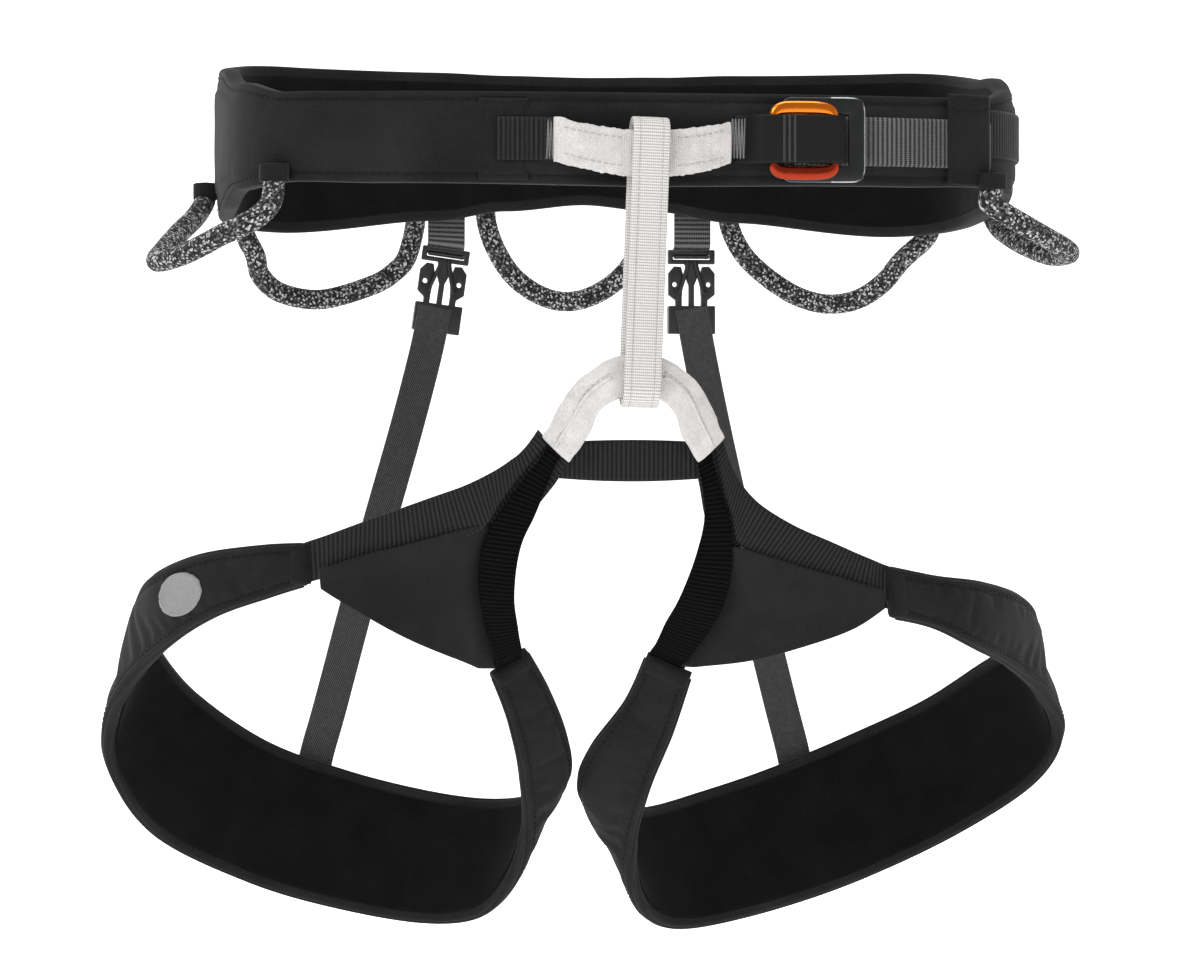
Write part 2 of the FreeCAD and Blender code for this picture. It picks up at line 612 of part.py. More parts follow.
def make_risers():
    for word, side in SIDES:
        x = RISER_X[word]
        web = box(x - RISER_HALF, x + RISER_HALF, *RISER_WEBBING_Y, BUCKLE_TOP - BAR_HEIGHT + 0.9, RISER_TOP)
        save("riser_upper_webbing_" + word, web)
        save("riser_buckle_male_" + word, hang(male_buckle(x), word))
        save("riser_prong_outer_" + word, hang(prong(x, side), word))
        save("riser_prong_inner_" + word, hang(prong(x, -side), word))
        save("riser_buckle_female_" + word, hang(female_buckle(x), word))
        save("riser_elastic_" + word, slab(elastic_grid(word, -ELASTIC / 2), elastic_grid(word, ELASTIC / 2)))


# ---- leg loops ---------------------------------------------------------------------------------

def leg_grid(stations, side, out, parts=2, columns=1):
    """Points on a leg band, moved outwards along its normal."""
    fine = smooth([upper + lower for upper, lower in stations], parts)
    grid = []
    for i, row in enumerate(fine):
        upper = V(*row[:3])
        lower = V(*row[3:])
        before = fine[max(i - 1, 0)]
        after = fine[min(i + 1, len(fine) - 1)]
        along = V(*after[:3]) + V(*after[3:]) - V(*before[:3]) - V(*before[3:])
        normal = (lower - upper).cross(along).normalize()
        points = []
        for k in range(columns + 1):
            p = upper + (lower - upper) * (k / columns) + normal * out
            points.append(V(side * p.x, p.y, p.z))
        grid.append(points)
    return grid


def leg_layer(stations, side, out0, out1, columns=1):
    return slab(leg_grid(stations, side, out0, 2, columns), leg_grid(stations, side, out1, 2, columns))


def make_badge():
    """A small plain oval sewn on the right leg pad, between its third and fourth stations."""
    parts = 8
    first = 2 * parts
    last = 3 * parts
    middle = 0.47
    grids = []
    for out in (STITCH_GAP, STITCH_GAP + PATCH):
        rows = leg_grid(PADS["right"], -1, out, parts)
        grid = []
        for i in range(first, last + 1):
            u = (2 * i - first - last) / (last - first + 0.8)
            half = 0.34 * math.sqrt(1 - u * u)
            upper, lower = rows[i]
            grid.append([upper + (lower - upper) * (middle + edge) for edge in (-half, half)])
        grids.append(grid)
    save("leg_badge", slab(grids[0], grids[1]))


def make_legs():
    foam = -SHELL
    lining = SHELL - PAD_THICKNESS
    for word, side in SIDES:
        pad = PADS[word]
        save("leg_pad_shell_" + word, leg_layer(pad, side, 0, foam))
        save("leg_pad_foam_" + word, leg_layer(pad, side, foam, lining))
        save("leg_pad_lining_" + word, leg_layer(pad, side, lining, -PAD_THICKNESS))
        save("leg_outer_strap_" + word, leg_layer(OUTER_STRAPS[word], side, 0, -STRAP_LEG))
        save("leg_inner_strap_" + word, leg_layer(INNER_STRAPS[word], side, 0, -STRAP_LEG))
        save("leg_stretch_panel_" + word, leg_layer(PANELS[word], side, -PANEL_BACK[0], -PANEL_BACK[1], 3))
    make_badge()


os.makedirs("parts", exist_ok=True)
make_belt()
make_belt_straps()
make_tie_in()
make_lower_tie_in()
make_belay_loop()
make_waist_buckle()
make_gear_loops()
make_risers()
make_legs()
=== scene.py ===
import math

import bmesh
import bpy
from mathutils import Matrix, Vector, noise


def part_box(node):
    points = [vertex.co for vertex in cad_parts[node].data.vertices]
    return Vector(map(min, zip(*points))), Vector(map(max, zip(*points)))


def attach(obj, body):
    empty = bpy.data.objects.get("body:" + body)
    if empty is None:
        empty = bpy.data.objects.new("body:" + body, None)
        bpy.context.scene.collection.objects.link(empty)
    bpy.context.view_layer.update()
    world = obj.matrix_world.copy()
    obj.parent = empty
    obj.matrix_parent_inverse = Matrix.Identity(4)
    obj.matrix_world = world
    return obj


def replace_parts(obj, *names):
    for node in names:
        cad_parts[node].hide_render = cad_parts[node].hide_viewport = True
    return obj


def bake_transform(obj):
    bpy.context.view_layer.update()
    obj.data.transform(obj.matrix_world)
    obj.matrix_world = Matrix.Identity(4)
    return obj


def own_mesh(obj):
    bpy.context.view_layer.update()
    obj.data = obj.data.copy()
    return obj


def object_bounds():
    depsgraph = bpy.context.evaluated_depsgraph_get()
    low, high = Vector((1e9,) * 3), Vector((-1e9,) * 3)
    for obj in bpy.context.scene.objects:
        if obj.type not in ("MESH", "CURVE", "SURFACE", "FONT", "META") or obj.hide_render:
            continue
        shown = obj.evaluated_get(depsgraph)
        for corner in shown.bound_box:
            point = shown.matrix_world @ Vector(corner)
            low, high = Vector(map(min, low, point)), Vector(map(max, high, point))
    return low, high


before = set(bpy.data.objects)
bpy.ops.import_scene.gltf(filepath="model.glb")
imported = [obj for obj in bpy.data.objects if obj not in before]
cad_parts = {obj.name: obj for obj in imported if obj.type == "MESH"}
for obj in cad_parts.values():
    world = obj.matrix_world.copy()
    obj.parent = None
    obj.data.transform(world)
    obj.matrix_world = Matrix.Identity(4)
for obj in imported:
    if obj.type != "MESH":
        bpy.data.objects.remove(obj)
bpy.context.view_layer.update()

MM = 0.001
CAMERA_TURN = math.radians(7.8)
CAMERA_DISTANCE = 2.095
CAMERA_SHIFT = -0.0053
CAMERA_HEIGHT = -0.142
CAMERA_LENS = 148.17
LAMP_TARGET = Vector((0, 0, -0.12))
CLOTH_SCALE = 20.0
CLOTH_PRESSURE = 0.6
CLOTH_SLACK = 0.02
CLOTH_CAP = 0.9
CLOTH_FRAMES = 14
HELD_END_ROWS = 9
TUCK_DEPTH = 3.6
THREAD_DEPTH = 0.3
ROOT = "waist_belt"
SIDES = (("right", -1), ("left", 1))
UP = Vector((0, 0, 1))
BACKWARDS = Vector((0, 1, 0))

# ---- the design's own tables, in millimetres, as the CAD has them --------------------------------
BELT_HALF_WIDTH = 166.5
BELT_HALF_DEPTH = 97.0
FRONT_SQUARENESS = 3.7
REAR_SQUARENESS = 3.6
BELT_EDGES = [(0, -19, 19), (50, -18, 19), (62, -17, 19.5), (73, -19, 25), (88, -25, 34), (120, -30, 42.5),
              (145, -23.5, 42), (160, -19, 41), (180, -16, 40.5)]
BELT_THICKNESS = 8.4
BELT_SEAM = 3.4
BELT_LINING_INSET = 4.2
RIM_RADIUS = 1.9
SLEEVE_REACH = 36.0
SLEEVE_END = (-101.2, -0.8)
SLEEVE_CROWN = (-107.5, -6.6)
SLEEVE_HALF_HEIGHT = (8.8, 9.5)
SLEEVE_HALF_THICK = 2.6
SLEEVE_FIRST = -38.0
SLEEVE_LAST = 34.0
GATHER_FROM = 9.5
LOOP_Y = -107.5
LOOP_LENGTH = 100.8
LOOP_INNER = 5.0
LOOP_LAYER = 1.6
LOOP_STEP = 0.8
LOOP_RIB = 1.15
LOOP_GROOVE = 0.62
LOOP_HALF_WIDTH = 7.5
LOOP_LEAN = math.radians(2.2)
GEAR_RADIUS = 4.4
GEAR_CLEAR = 0.7
BRAID_PITCH = 1.1
TAB_TOP = -11.4
TAB_HEIGHT = 7.5
TAB_HALF_ANGLE = 1.8
STUB_HEIGHT = 3
GEAR_LOOPS = {
    "front_right": [(-147.5, -78, -18), (-150.5, -82, -25.5), (-155, -84, -31), (-161.5, -82, -35),
                    (-170.5, -76, -39), (-179, -67, -43.5), (-187.5, -56, -47), (-194.5, -42, -48),
                    (-191, -26, -43), (-183.5, -6, -34.5), (-176, 12, -27), (-170, 28, -19.5)],
    "front_left": [(141.5, -78, -19), (145, -82, -23.5), (152.5, -82, -28.5), (162, -77, -33),
                   (172, -68, -37), (182.5, -55, -40.5), (188, -42, -42.5), (184.5, -26, -42.5),
                   (179.5, -10, -39), (175, 6, -34), (170.5, 20, -28), (167, 34, -19)],
    "rear_right": [(-146, 70, -23), (-146.5, 75, -32), (-146, 81, -40), (-143.5, 87, -48),
                   (-134, 93, -55.5), (-115.5, 99, -58), (-93, 103, -51.5), (-83, 105, -45.5),
                   (-77.5, 105, -39), (-74.2, 104.5, -27), (-74, 102, -15.5)],
    "rear_left": [(66.5, 102, -13), (67, 103, -23.5), (71.5, 104, -33.5), (78, 104, -41.5),
                  (88.5, 103, -50), (99, 101, -56), (111, 97, -59), (123, 91, -57), (133, 84, -50),
                  (140.5, 77, -40), (145, 73, -30), (145.5, 70, -21.5)],
    "centre": [(-42.5, 102, -11), (-42, 103.5, -23), (-37.5, 105, -35.5), (-29.5, 107, -47),
               (-18, 109, -55), (-5.5, 110, -58), (7, 109, -55), (18.5, 107, -47), (26.5, 105, -35.5),
               (31, 103.5, -23), (31.5, 102, -11)]}
RISER_X = {"right": -60.5, "left": 49.5}
RISER_LEAN = {"right": 8.0, "left": 0.0}
RISER_PIVOT_Z = -38.2
ELASTIC_HALF_WIDTH = 7.4
ELASTIC_ROUTES = {
    "right": [(-65.5, 97, -61), (-70, 95.5, -82), (-79, 91, -115), (-91, 84.5, -155), (-102.5, 76.5, -194),
              (-114.5, 67, -236), (-121, 63, -258), (-123.5, 63, -274)],
    "left": [(49, 97, -61), (52.5, 95.5, -82), (58.5, 91, -115), (66.5, 84.5, -155), (75, 76.5, -194),
             (84, 67, -236), (89, 63, -258), (91.5, 63, -274)]}
PAD_THICKNESS = 7.5
PAD_SEAM = 3.0
PAD_LINING_INSET = 3.6
PANEL_MARGIN = 2.5
PADS = {
    "right": [((137, -88, -164), (137, -88, -180)), ((155.5, -81, -165), (154, -81, -185.5)),
              ((179.5, -65, -169), (173, -66, -193)), ((196.5, -43, -176.5), (189.5, -46, -203.5)),
              ((202, -18, -185), (205, -18, -218)), ((201, 8, -196), (215, 8, -236)),
              ((194, 26, -208), (214, 28, -259)), ((176, 44, -228.5), (193, 47, -288.5)),
              ((144, 56, -250.5), (150.5, 59, -310.5)), ((108, 60, -264), (111, 60, -322.5)),
              ((76, 55, -272), (74, 53, -328.5)), ((48, 38, -275.5), (50, 36, -325)),
              ((28, 15, -273), (38.5, 14, -310.5)), ((18, -8, -263), (35.5, -8, -289.5)),
              ((21.5, -26, -246), (40, -29, -264)), ((31, -41, -226), (47, -44, -240)),
              ((41.5, -51, -209), (56, -54.5, -219))],
    "left": [((102, -88, -173.5), (105, -88, -194)), ((125, -81, -178), (124.5, -81, -198.5)),
             ((149, -65, -181), (146.5, -66, -208)), ((169.5, -43, -187), (164.5, -46, -216)),
             ((180, -18, -196), (186, -18, -229)), ((179, 8, -206), (199, 8, -246)),
             ((166, 26, -217), (190, 28, -268)), ((144, 44, -234), (159, 47, -291.5)),
             ((112, 56, -250), (118, 59, -312)), ((76, 60, -265), (79, 60, -325)),
             ((44, 55, -274.5), (42, 53, -332)), ((16, 38, -280), (20, 36, -328.5)),
             ((-7.5, 15, -277.5), (8, 14, -314)), ((-17.5, -8, -267.5), (6, -8, -294.5)),
             ((-13.5, -26, -251), (10, -29, -269)), ((-1, -41, -231), (17.5, -44, -245)),
             ((6, -51, -213), (24, -54.5, -221.5))]}
OUTER_STRAPS = {
    "right": [((46, -91, -124), (43, -91, -127.5)), ((53, -91, -129), (51, -91, -137)),
              ((60.5, -91, -134), (58.5, -91, -147)), ((72.5, -91, -140), (66, -90.5, -158)),
              ((86.5, -90.5, -145), (83, -90, -164.5)), ((100.5, -90, -150), (99, -89.5, -168.5)),
              ((114.5, -89.5, -155), (115, -89, -173)), ((133.5, -89, -162), (132.5, -88.5, -178.5))],
    "left": [((34, -91, -125.5), (30.5, -91, -130)), ((36.5, -91, -132.5), (33, -91, -141.5)),
             ((40.5, -91, -139.5), (36.5, -91, -153)), ((48.5, -91, -148), (39.5, -90.5, -164)),
             ((62.5, -90.5, -156.5), (52, -90, -171)), ((77.5, -90, -163), (68, -89.5, -176.5)),
             ((89, -89.5, -168), (84, -89, -181.5)), ((99, -89, -172), (98.5, -88.5, -186.5))]}
INNER_STRAPS = {
    "right": [((42, -91, -129), (36.5, -91, -133)), ((49.5, -91, -138.5), (40.5, -91, -143)),
              ((57.5, -90.5, -149.5), (44.5, -90, -153)), ((64, -89, -161), (49, -88, -163)),
              ((66.5, -85, -172), (51, -84, -174)), ((65.5, -79, -186), (51, -77, -187)),
              ((62, -70, -199), (48.5, -68, -198)), ((57, -60.5, -211), (46, -58.5, -206.5))],
    "left": [((29, -91, -131.5), (23, -91, -135)), ((32, -91, -142.5), (24.5, -91, -144)),
             ((35.5, -90.5, -154.5), (25, -90, -155)), ((37, -89, -167), (22.5, -88, -167)),
             ((36.5, -85, -180), (19.5, -84, -177.5)), ((34, -79, -191.5), (16, -77, -188)),
             ((29.5, -70, -201.5), (12.5, -68, -196.5)), ((24, -61, -211), (10, -58.5, -205))]}
PANELS = {
    "right": [((132, -88.5, -176), (131.5, -88, -181.5)), ((115, -88.5, -170), (119, -85.5, -189)),
              ((99, -88.5, -166), (98, -79.5, -200.5)), ((82, -88.5, -161), (78, -69.5, -209)),
              ((69, -87.5, -157), (65.5, -54.5, -214))],
    "left": [((100, -88.5, -185.5), (100, -88, -190)), ((84, -88.5, -180), (87, -85, -198.5)),
             ((68, -88.5, -175.5), (66, -79.5, -206)), ((52, -88.5, -170), (46, -70, -211.5)),
             ((41, -87.5, -166), (28, -54.5, -214))]}
YOKES = {
    "right": [((43, -91, -117.5), (31, -91, -131)), ((48, -90.5, -124.5), (35.5, -90.5, -139)),
              ((55, -90, -131), (44, -89.5, -150)), ((66, -89.5, -137.5), (52, -89, -162)),
              ((76, -89.5, -143), (60.5, -86.5, -163))],
    "left": [((32.5, -91, -119), (21.5, -91, -131.5)), ((34.5, -90.5, -129), (23.5, -90.5, -141)),
             ((38.5, -90, -137), (26, -89.5, -154)), ((46, -89.5, -146), (30, -89, -164)),
             ((59, -89.5, -155), (37, -88, -168))]}
ARCH_SHIFT = -4.5
ARCH_HALF_THICK = 1.9
ARCH = [((0, -87.3), (0, -104.3), -107.5), ((9, -88.3), (7, -105), -107), ((17, -92.5), (12, -107.5), -105.5),
        ((25, -99), (16, -112), -103), ((31.5, -109), (19.5, -121), -99), ((37, -120.5), (26.5, -130.5), -94)]


# ---- camera --------------------------------------------------------------------------------------
def link(name, data):
    """A new object in the scene."""
    obj = bpy.data.objects.new(name, data)
    bpy.context.scene.collection.objects.link(obj)
    return obj


def make_camera():
    """Level, a little to the wearer's right, as the photograph was taken."""
    forward = Vector((math.sin(CAMERA_TURN), math.cos(CAMERA_TURN), 0))
    right = Vector((math.cos(CAMERA_TURN), -math.sin(CAMERA_TURN), 0))
    data = bpy.data.cameras.new("camera")
    data.lens = CAMERA_LENS
    data.sensor_width = 36.0
    camera = link("camera", data)
    camera.location = forward * -CAMERA_DISTANCE + right * CAMERA_SHIFT + Vector((0, 0, CAMERA_HEIGHT))
    camera.rotation_euler = (math.radians(90), 0, -CAMERA_TURN)
    bpy.context.scene.camera = camera


# ---- numbers -------------------------------------------------------------------------------------
def smooth(points, parts, closed=False):
    """Points on a Catmull-Rom curve through rows of numbers."""
    result = []
    count = len(points)
    for i in range(count if closed else count - 1):
        if closed:
            four = [points[(i + k) % count] for k in (-1, 0, 1, 2)]
        else:
            four = [points[min(max(i + k, 0), count - 1)] for k in (-1, 0, 1, 2)]
        for k in range(parts):
            t = k / parts
            result.append(tuple(0.5 * (2 * b + (c - a) * t + (2 * a - 5 * b + 4 * c - d) * t ** 2
                                       + (3 * b - a - 3 * c + d) * t ** 3)
                                for a, b, c, d in zip(*four)))
    if not closed:
        result.append(tuple(points[-1]))
    return result


def resample(rows, step, closed=False):
    """The same curve with rows at even spacing. Distance is measured on each row's middle."""
    def middle(row):
        size = len(row) // 3
        return sum((Vector(row[3 * k:3 * k + 3]) for k in range(size)), Vector()) / size
    rows = list(rows) + ([rows[0]] if closed else [])
    lengths = [0.0]
    for first, second in zip(rows, rows[1:]):
        lengths.append(lengths[-1] + (middle(second) - middle(first)).length)
    total = lengths[-1]
    count = max(int(round(total / step)), 2)
    result = []
    k = 0
    for i in range(count if closed else count + 1):
        s = total * i / count
        while k < len(lengths) - 2 and lengths[k + 1] < s:
            k += 1
        t = (s - lengths[k]) / max(lengths[k + 1] - lengths[k], 1e-9)
        result.append(tuple(a + (b - a) * t for a, b in zip(rows[k], rows[k + 1])))
    return result, total / count


def hills(p, size, seed=0.0):
    """Smooth noise from -1 to 1 with features of about size millimetres."""
    return noise.noise(Vector((p.x / size + seed, p.y / size - seed, p.z / size + 2.3 * seed)))


# ---- meshes --------------------------------------------------------------------------------------
def new_object(name, verts, faces, material, uvs=None):
    """A smooth mesh object from points in millimetres. uvs are per vertex, in millimetres."""
    mesh = bpy.data.meshes.new(name)
    mesh.from_pydata([tuple(v * MM) for v in verts], [], faces)
    if uvs:
        layer = mesh.uv_layers.new(name="UVMap")
        for poly in mesh.polygons:
            for corner, vertex in zip(poly.loop_indices, poly.vertices):
                layer.data[corner].uv = uvs[vertex]
    mesh.polygons.foreach_set("use_smooth", [True] * len(mesh.polygons))
    mesh.materials.append(material)
    return link(name, mesh)


def dress(obj, body):
    """Weld a new piece, and let it ride its body if it has one."""
    weld(obj)
    if body:
        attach(obj, body)
    return obj


def loft(name, rings, material, body=None, closed=False, step=1.0, held=None):
    """A tube through closed rings of points, capped at open ends. UVs run along it and round it.

    held are the places in a ring that stay where they are when the piece is let go as cloth.
    """
    sides = len(rings[0])
    verts = []
    uvs = []
    for i, ring in enumerate(rings + ([rings[0]] if closed else [])):
        run = 0.0
        for j in range(sides + 1):
            verts.append(ring[j % sides])
            uvs.append((i * step, run))
            run += (ring[(j + 1) % sides] - ring[j % sides]).length
    width = sides + 1
    faces = []
    rows = len(verts) // width
    for i in range(rows - 1):
        for j in range(sides):
            a = i * width + j
            faces.append((a, a + 1, a + width + 1, a + width))
    if not closed:
        faces.append(tuple(reversed(range(sides))))
        faces.append(tuple(range((rows - 1) * width, (rows - 1) * width + sides)))
    obj = new_object(name, verts, faces, MATERIALS[material], uvs)
    if held:
        group = obj.vertex_groups.new(name="held")
        fixed = [i * width + j for i in range(rows) for j in range(width) if j % sides in held]
        if not closed:
            ends = HELD_END_ROWS * width
            fixed += list(range(ends)) + list(range(rows * width - ends, rows * width))
        group.add(fixed, 1.0, "REPLACE")
    return dress(obj, body)


def let_go(obj):
    """Simulate the free part of a padded band as cloth: it swells and puckers between its seams.

    The mesh is made CLOTH_SCALE times larger for the simulation. No point moves more than CLOTH_CAP
    millimetres.
    """
    start = [v.co.copy() for v in obj.data.vertices]
    for vertex in obj.data.vertices:
        vertex.co *= CLOTH_SCALE
    modifier = obj.modifiers.new("cloth", "CLOTH")
    settings = modifier.settings
    settings.quality = 5
    settings.mass = 0.15
    settings.vertex_group_mass = "held"
    settings.tension_stiffness = 18
    settings.compression_stiffness = 18
    settings.bending_stiffness = 1.5
    settings.use_pressure = True
    settings.uniform_pressure_force = CLOTH_PRESSURE
    settings.shrink_min = -CLOTH_SLACK
    settings.effector_weights.gravity = 0
    modifier.collision_settings.use_collision = False
    modifier.point_cache.frame_start = 1
    modifier.point_cache.frame_end = CLOTH_FRAMES
    for frame_number in range(1, CLOTH_FRAMES + 1):
        bpy.context.scene.frame_set(frame_number)
    graph = bpy.context.evaluated_depsgraph_get()
    result = obj.evaluated_get(graph).to_mesh()
    end = [v.co / CLOTH_SCALE for v in result.vertices]
    obj.evaluated_get(graph).to_mesh_clear()
    obj.modifiers.clear()
    obj.vertex_groups.clear()
    for vertex, before, after in zip(obj.data.vertices, start, end):
        moved = after - before
        if moved.length > CLOTH_CAP * MM:
            moved *= CLOTH_CAP * MM / moved.length
        vertex.co = before + moved
    bpy.context.scene.frame_set(1)


def weld(obj):
    """Join doubled points and point the faces outwards. UVs stay, because they belong to corners."""
    bm = bmesh.new()
    bm.from_mesh(obj.data)
    bmesh.ops.remove_doubles(bm, verts=bm.verts, dist=1e-6)
    bmesh.ops.recalc_face_normals(bm, faces=bm.faces)
    bm.to_mesh(obj.data)
    bm.free()


def neighbours(rows, i, closed=False):
    """The rows before and after one. At an open end the missing one is the row itself."""
    count = len(rows)
    if closed:
        return rows[(i - 1) % count], rows[(i + 1) % count]
    return rows[max(i - 1, 0)], rows[min(i + 1, count - 1)]


def heading(rows, i, closed=False):
    """The direction in which rows of upper and lower edge points run at one of them."""
    before, after = neighbours(rows, i, closed)
    return Vector(after[:3]) + Vector(after[3:6]) - Vector(before[:3]) - Vector(before[3:6])


def ribbon(rows, closed=False):
    """Frames (upper, lower, normal) along rows of upper and lower edge points."""
    frames = []
    for i, row in enumerate(rows):
        upper = Vector(row[:3])
        lower = Vector(row[3:6])
        normal = (lower - upper).cross(heading(rows, i, closed)).normalized()
        frames.append((upper, lower, normal))
    return frames


def beside_edge(frames, edge, inset, depth, shape=None):
    """Points along the upper (0) or lower (1) edge of a band, inset from it and sunk into its face."""
    points = []
    for upper, lower, normal in frames:
        down = (lower - upper).normalized() * (-1 if edge else 1)
        p = (lower if edge else upper) + down * inset - normal * depth
        points.append(shape(p, normal) if shape else p)
    return points


def rings_of(frames, profile, shape=None):
    """Closed rings from frames. profile(i, width) gives (w, b): w from the upper edge, b along the normal.

    shape(p, normal) may then move each point.
    """
    rings = []
    for i, (upper, lower, normal) in enumerate(frames):
        width = (lower - upper).length
        across = (lower - upper) / width
        ring = []
        for w, b in profile(i, width):
            p = upper + across * w + normal * b
            ring.append(shape(p, normal) if shape else p)
        rings.append(ring)
    return rings


def spread(points):
    """Places from -1 to 1, closer together towards both ends."""
    return [math.sin(math.pi / 2 * (2 * k / (points - 1) - 1)) for k in range(points)]


def pad_profile(width, thick, power, points, rise, grooves=()):
    """A crowned section: outer face at b = 0 and inner face at b = -thick, thin at both edges.

    Each groove is (place across the width, depth, half its width).
    """
    outer = []
    inner = []
    for x in spread(points):
        y = max(1 - abs(x) ** power, 0.0) ** (1 / power)
        w = width * (x + 1) / 2
        dip = sum(depth * math.exp(-((w - at) / wide) ** 2) for at, depth, wide in grooves)
        outer.append((w, thick / 2 * (y - 1) + rise * y - dip * y))
        inner.append((w, -thick / 2 * (1 + y) - rise * 0.4 * y + dip * y))
    return outer + list(reversed(inner[1:-1]))


def strap_profile(width, thick, points=13, ribs=0.0, phase=0.0, selvedge=0.12):
    """A webbing section with rounded edges, a little thicker at its two selvedges."""
    outer = []
    inner = []
    for x in spread(points):
        y = max(1 - abs(x) ** 14, 0.0) ** 0.25
        edge = selvedge if abs(x) > 0.86 else 0.0
        lift = ribs * phase * (1 if abs(x) < 0.9 else 0.25) + edge
        w = width * (x + 1) / 2
        outer.append((w, thick / 2 * (y - 1) + lift * y))
        inner.append((w, -thick / 2 * (1 + y) - lift * y * 0.6))
    return outer + list(reversed(inner[1:-1]))


def rounded_end(edge, reach, least):
    """1 away from an end, and down a quarter circle over its last reach millimetres."""
    return math.sqrt(max(1 - (1 - min(edge / reach, 1)) ** 2, least))


def strap(name, stations, thick, material, body=None, pitch=2.0, ribs=0.18, step=0.4, parts=10, out=0.0,
          seams=(), end_round=1.0, tuck=0.0):
    """Ribbed webbing along rows of upper and lower edge points, raised by out.

    seams are (share of the width, depth) of stitched lines that run along it. Its ends are rounded over
    end_round millimetres, and over its last tuck millimetres it dives under its neighbour.
    """
    rows, step = resample(smooth(stations, parts), step)
    frames = ribbon(rows)
    total = (len(frames) - 1) * step

    def profile(i, width):
        s = i * step
        wave = math.sin(math.pi * s / pitch) ** 2
        edge = min(s, total - s)
        taper = rounded_end(edge, end_round, 0.04)
        section = strap_profile(width, thick * taper, ribs=ribs * taper, phase=wave)
        for at, depth in seams:
            section = [(w, b - (depth * math.exp(-((w / width - at) / 0.03) ** 2) if b > -thick / 2 else 0))
                       for w, b in section]
        dive = TUCK_DEPTH * min(max((tuck - (total - s)) / tuck, 0) * 1.6, 1) if tuck else 0.0
        return [(w, b + out - dive - thick * (1 - taper) / 2) for w, b in section]

    return loft(name, rings_of(frames, profile), material, body, False, step)


def stitches(name, path, material, body, pitch=3.2, length=2.2, radius=0.22):
    """A row of threads that lie along a path of points."""
    rows, step = resample([tuple(p) for p in path], pitch)
    points = [Vector(r[:3]) for r in rows]
    verts = []
    faces = []
    for first, second in zip(points, points[1:]):
        along = second - first
        if along.length < 1e-6:
            continue
        along.normalize()
        middle = (first + second) / 2
        up = along.orthogonal().normalized()
        side = along.cross(up)
        start = len(verts)
        for t, size in ((-0.5, 0.35), (-0.38, 0.9), (0.0, 1.0), (0.38, 0.9), (0.5, 0.35)):
            for k in range(6):
                a = math.pi * k / 3
                spoke = up * math.cos(a) + side * math.sin(a)
                verts.append(middle + along * (length * t) + spoke * radius * size)
        for ring in range(4):
            for k in range(6):
                a = start + ring * 6 + k
                b = start + ring * 6 + (k + 1) % 6
                faces.append((a, b, b + 6, a + 6))
        faces.append(tuple(start + k for k in reversed(range(6))))
        faces.append(tuple(start + 24 + k for k in range(6)))
    return dress(new_object(name, verts, faces, MATERIALS[material]), body)


def tube(name, points, radius, material, body, sides=12, closed=False, step=1.0, flat=1.0, bulge=None):
    """A round or flattened tube along points. bulge(s, angle) adds to the radius."""
    rows, step = resample([tuple(p) for p in points], step, closed)
    path = [Vector(r[:3]) for r in rows]
    rings = []
    up = Vector((0.3, 0.2, 1))
    for i, p in enumerate(path):
        before, after = neighbours(path, i, closed)
        along = (after - before).normalized()
        across = (up - along * up.dot(along)).normalized()
        through = along.cross(across)
        up = across
        ring = []
        for k in range(sides):
            a = 2 * math.pi * k / sides
            r = radius + (bulge(i * step, a) if bulge else 0.0)
            ring.append(p + across * (r * math.cos(a)) + through * (r * math.sin(a) * flat))
        rings.append(ring)
    return loft(name, rings, material, body, closed, step)


def from_node(name, node, material, body, bevel, segments=3):
    """A rounded copy of a hard CAD node, which it replaces."""
    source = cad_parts[node]
    bm = bmesh.new()
    bm.from_mesh(source.data)
    bm.transform(source.matrix_world)
    bmesh.ops.remove_doubles(bm, verts=bm.verts, dist=1e-6)
    bmesh.ops.dissolve_limit(bm, angle_limit=math.radians(3), verts=bm.verts, edges=bm.edges)
    mesh = bpy.data.meshes.new(name)
    bm.to_mesh(mesh)
    bm.free()
    mesh.materials.clear()
    mesh.materials.append(MATERIALS[material])
    obj = link(name, mesh)
    modifier = obj.modifiers.new("bevel", "BEVEL")
    modifier.width = bevel * MM
    modifier.segments = segments
    modifier.limit_method = "ANGLE"
    modifier.angle_limit = math.radians(35)
    modifier.use_clamp_overlap = True
    apply_modifiers(obj)
    obj.data.polygons.foreach_set("use_smooth", [True] * len(obj.data.polygons))
    obj.data.set_sharp_from_angle(angle=math.radians(40))
    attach(obj, body)
    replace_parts(obj, node)


def apply_modifiers(obj):
    """Replace the mesh by its evaluated one."""
    graph = bpy.context.evaluated_depsgraph_get()
    result = bpy.data.meshes.new_from_object(obj.evaluated_get(graph))
    obj.modifiers.clear()
    old = obj.data
    obj.data = result
    bpy.data.meshes.remove(old)


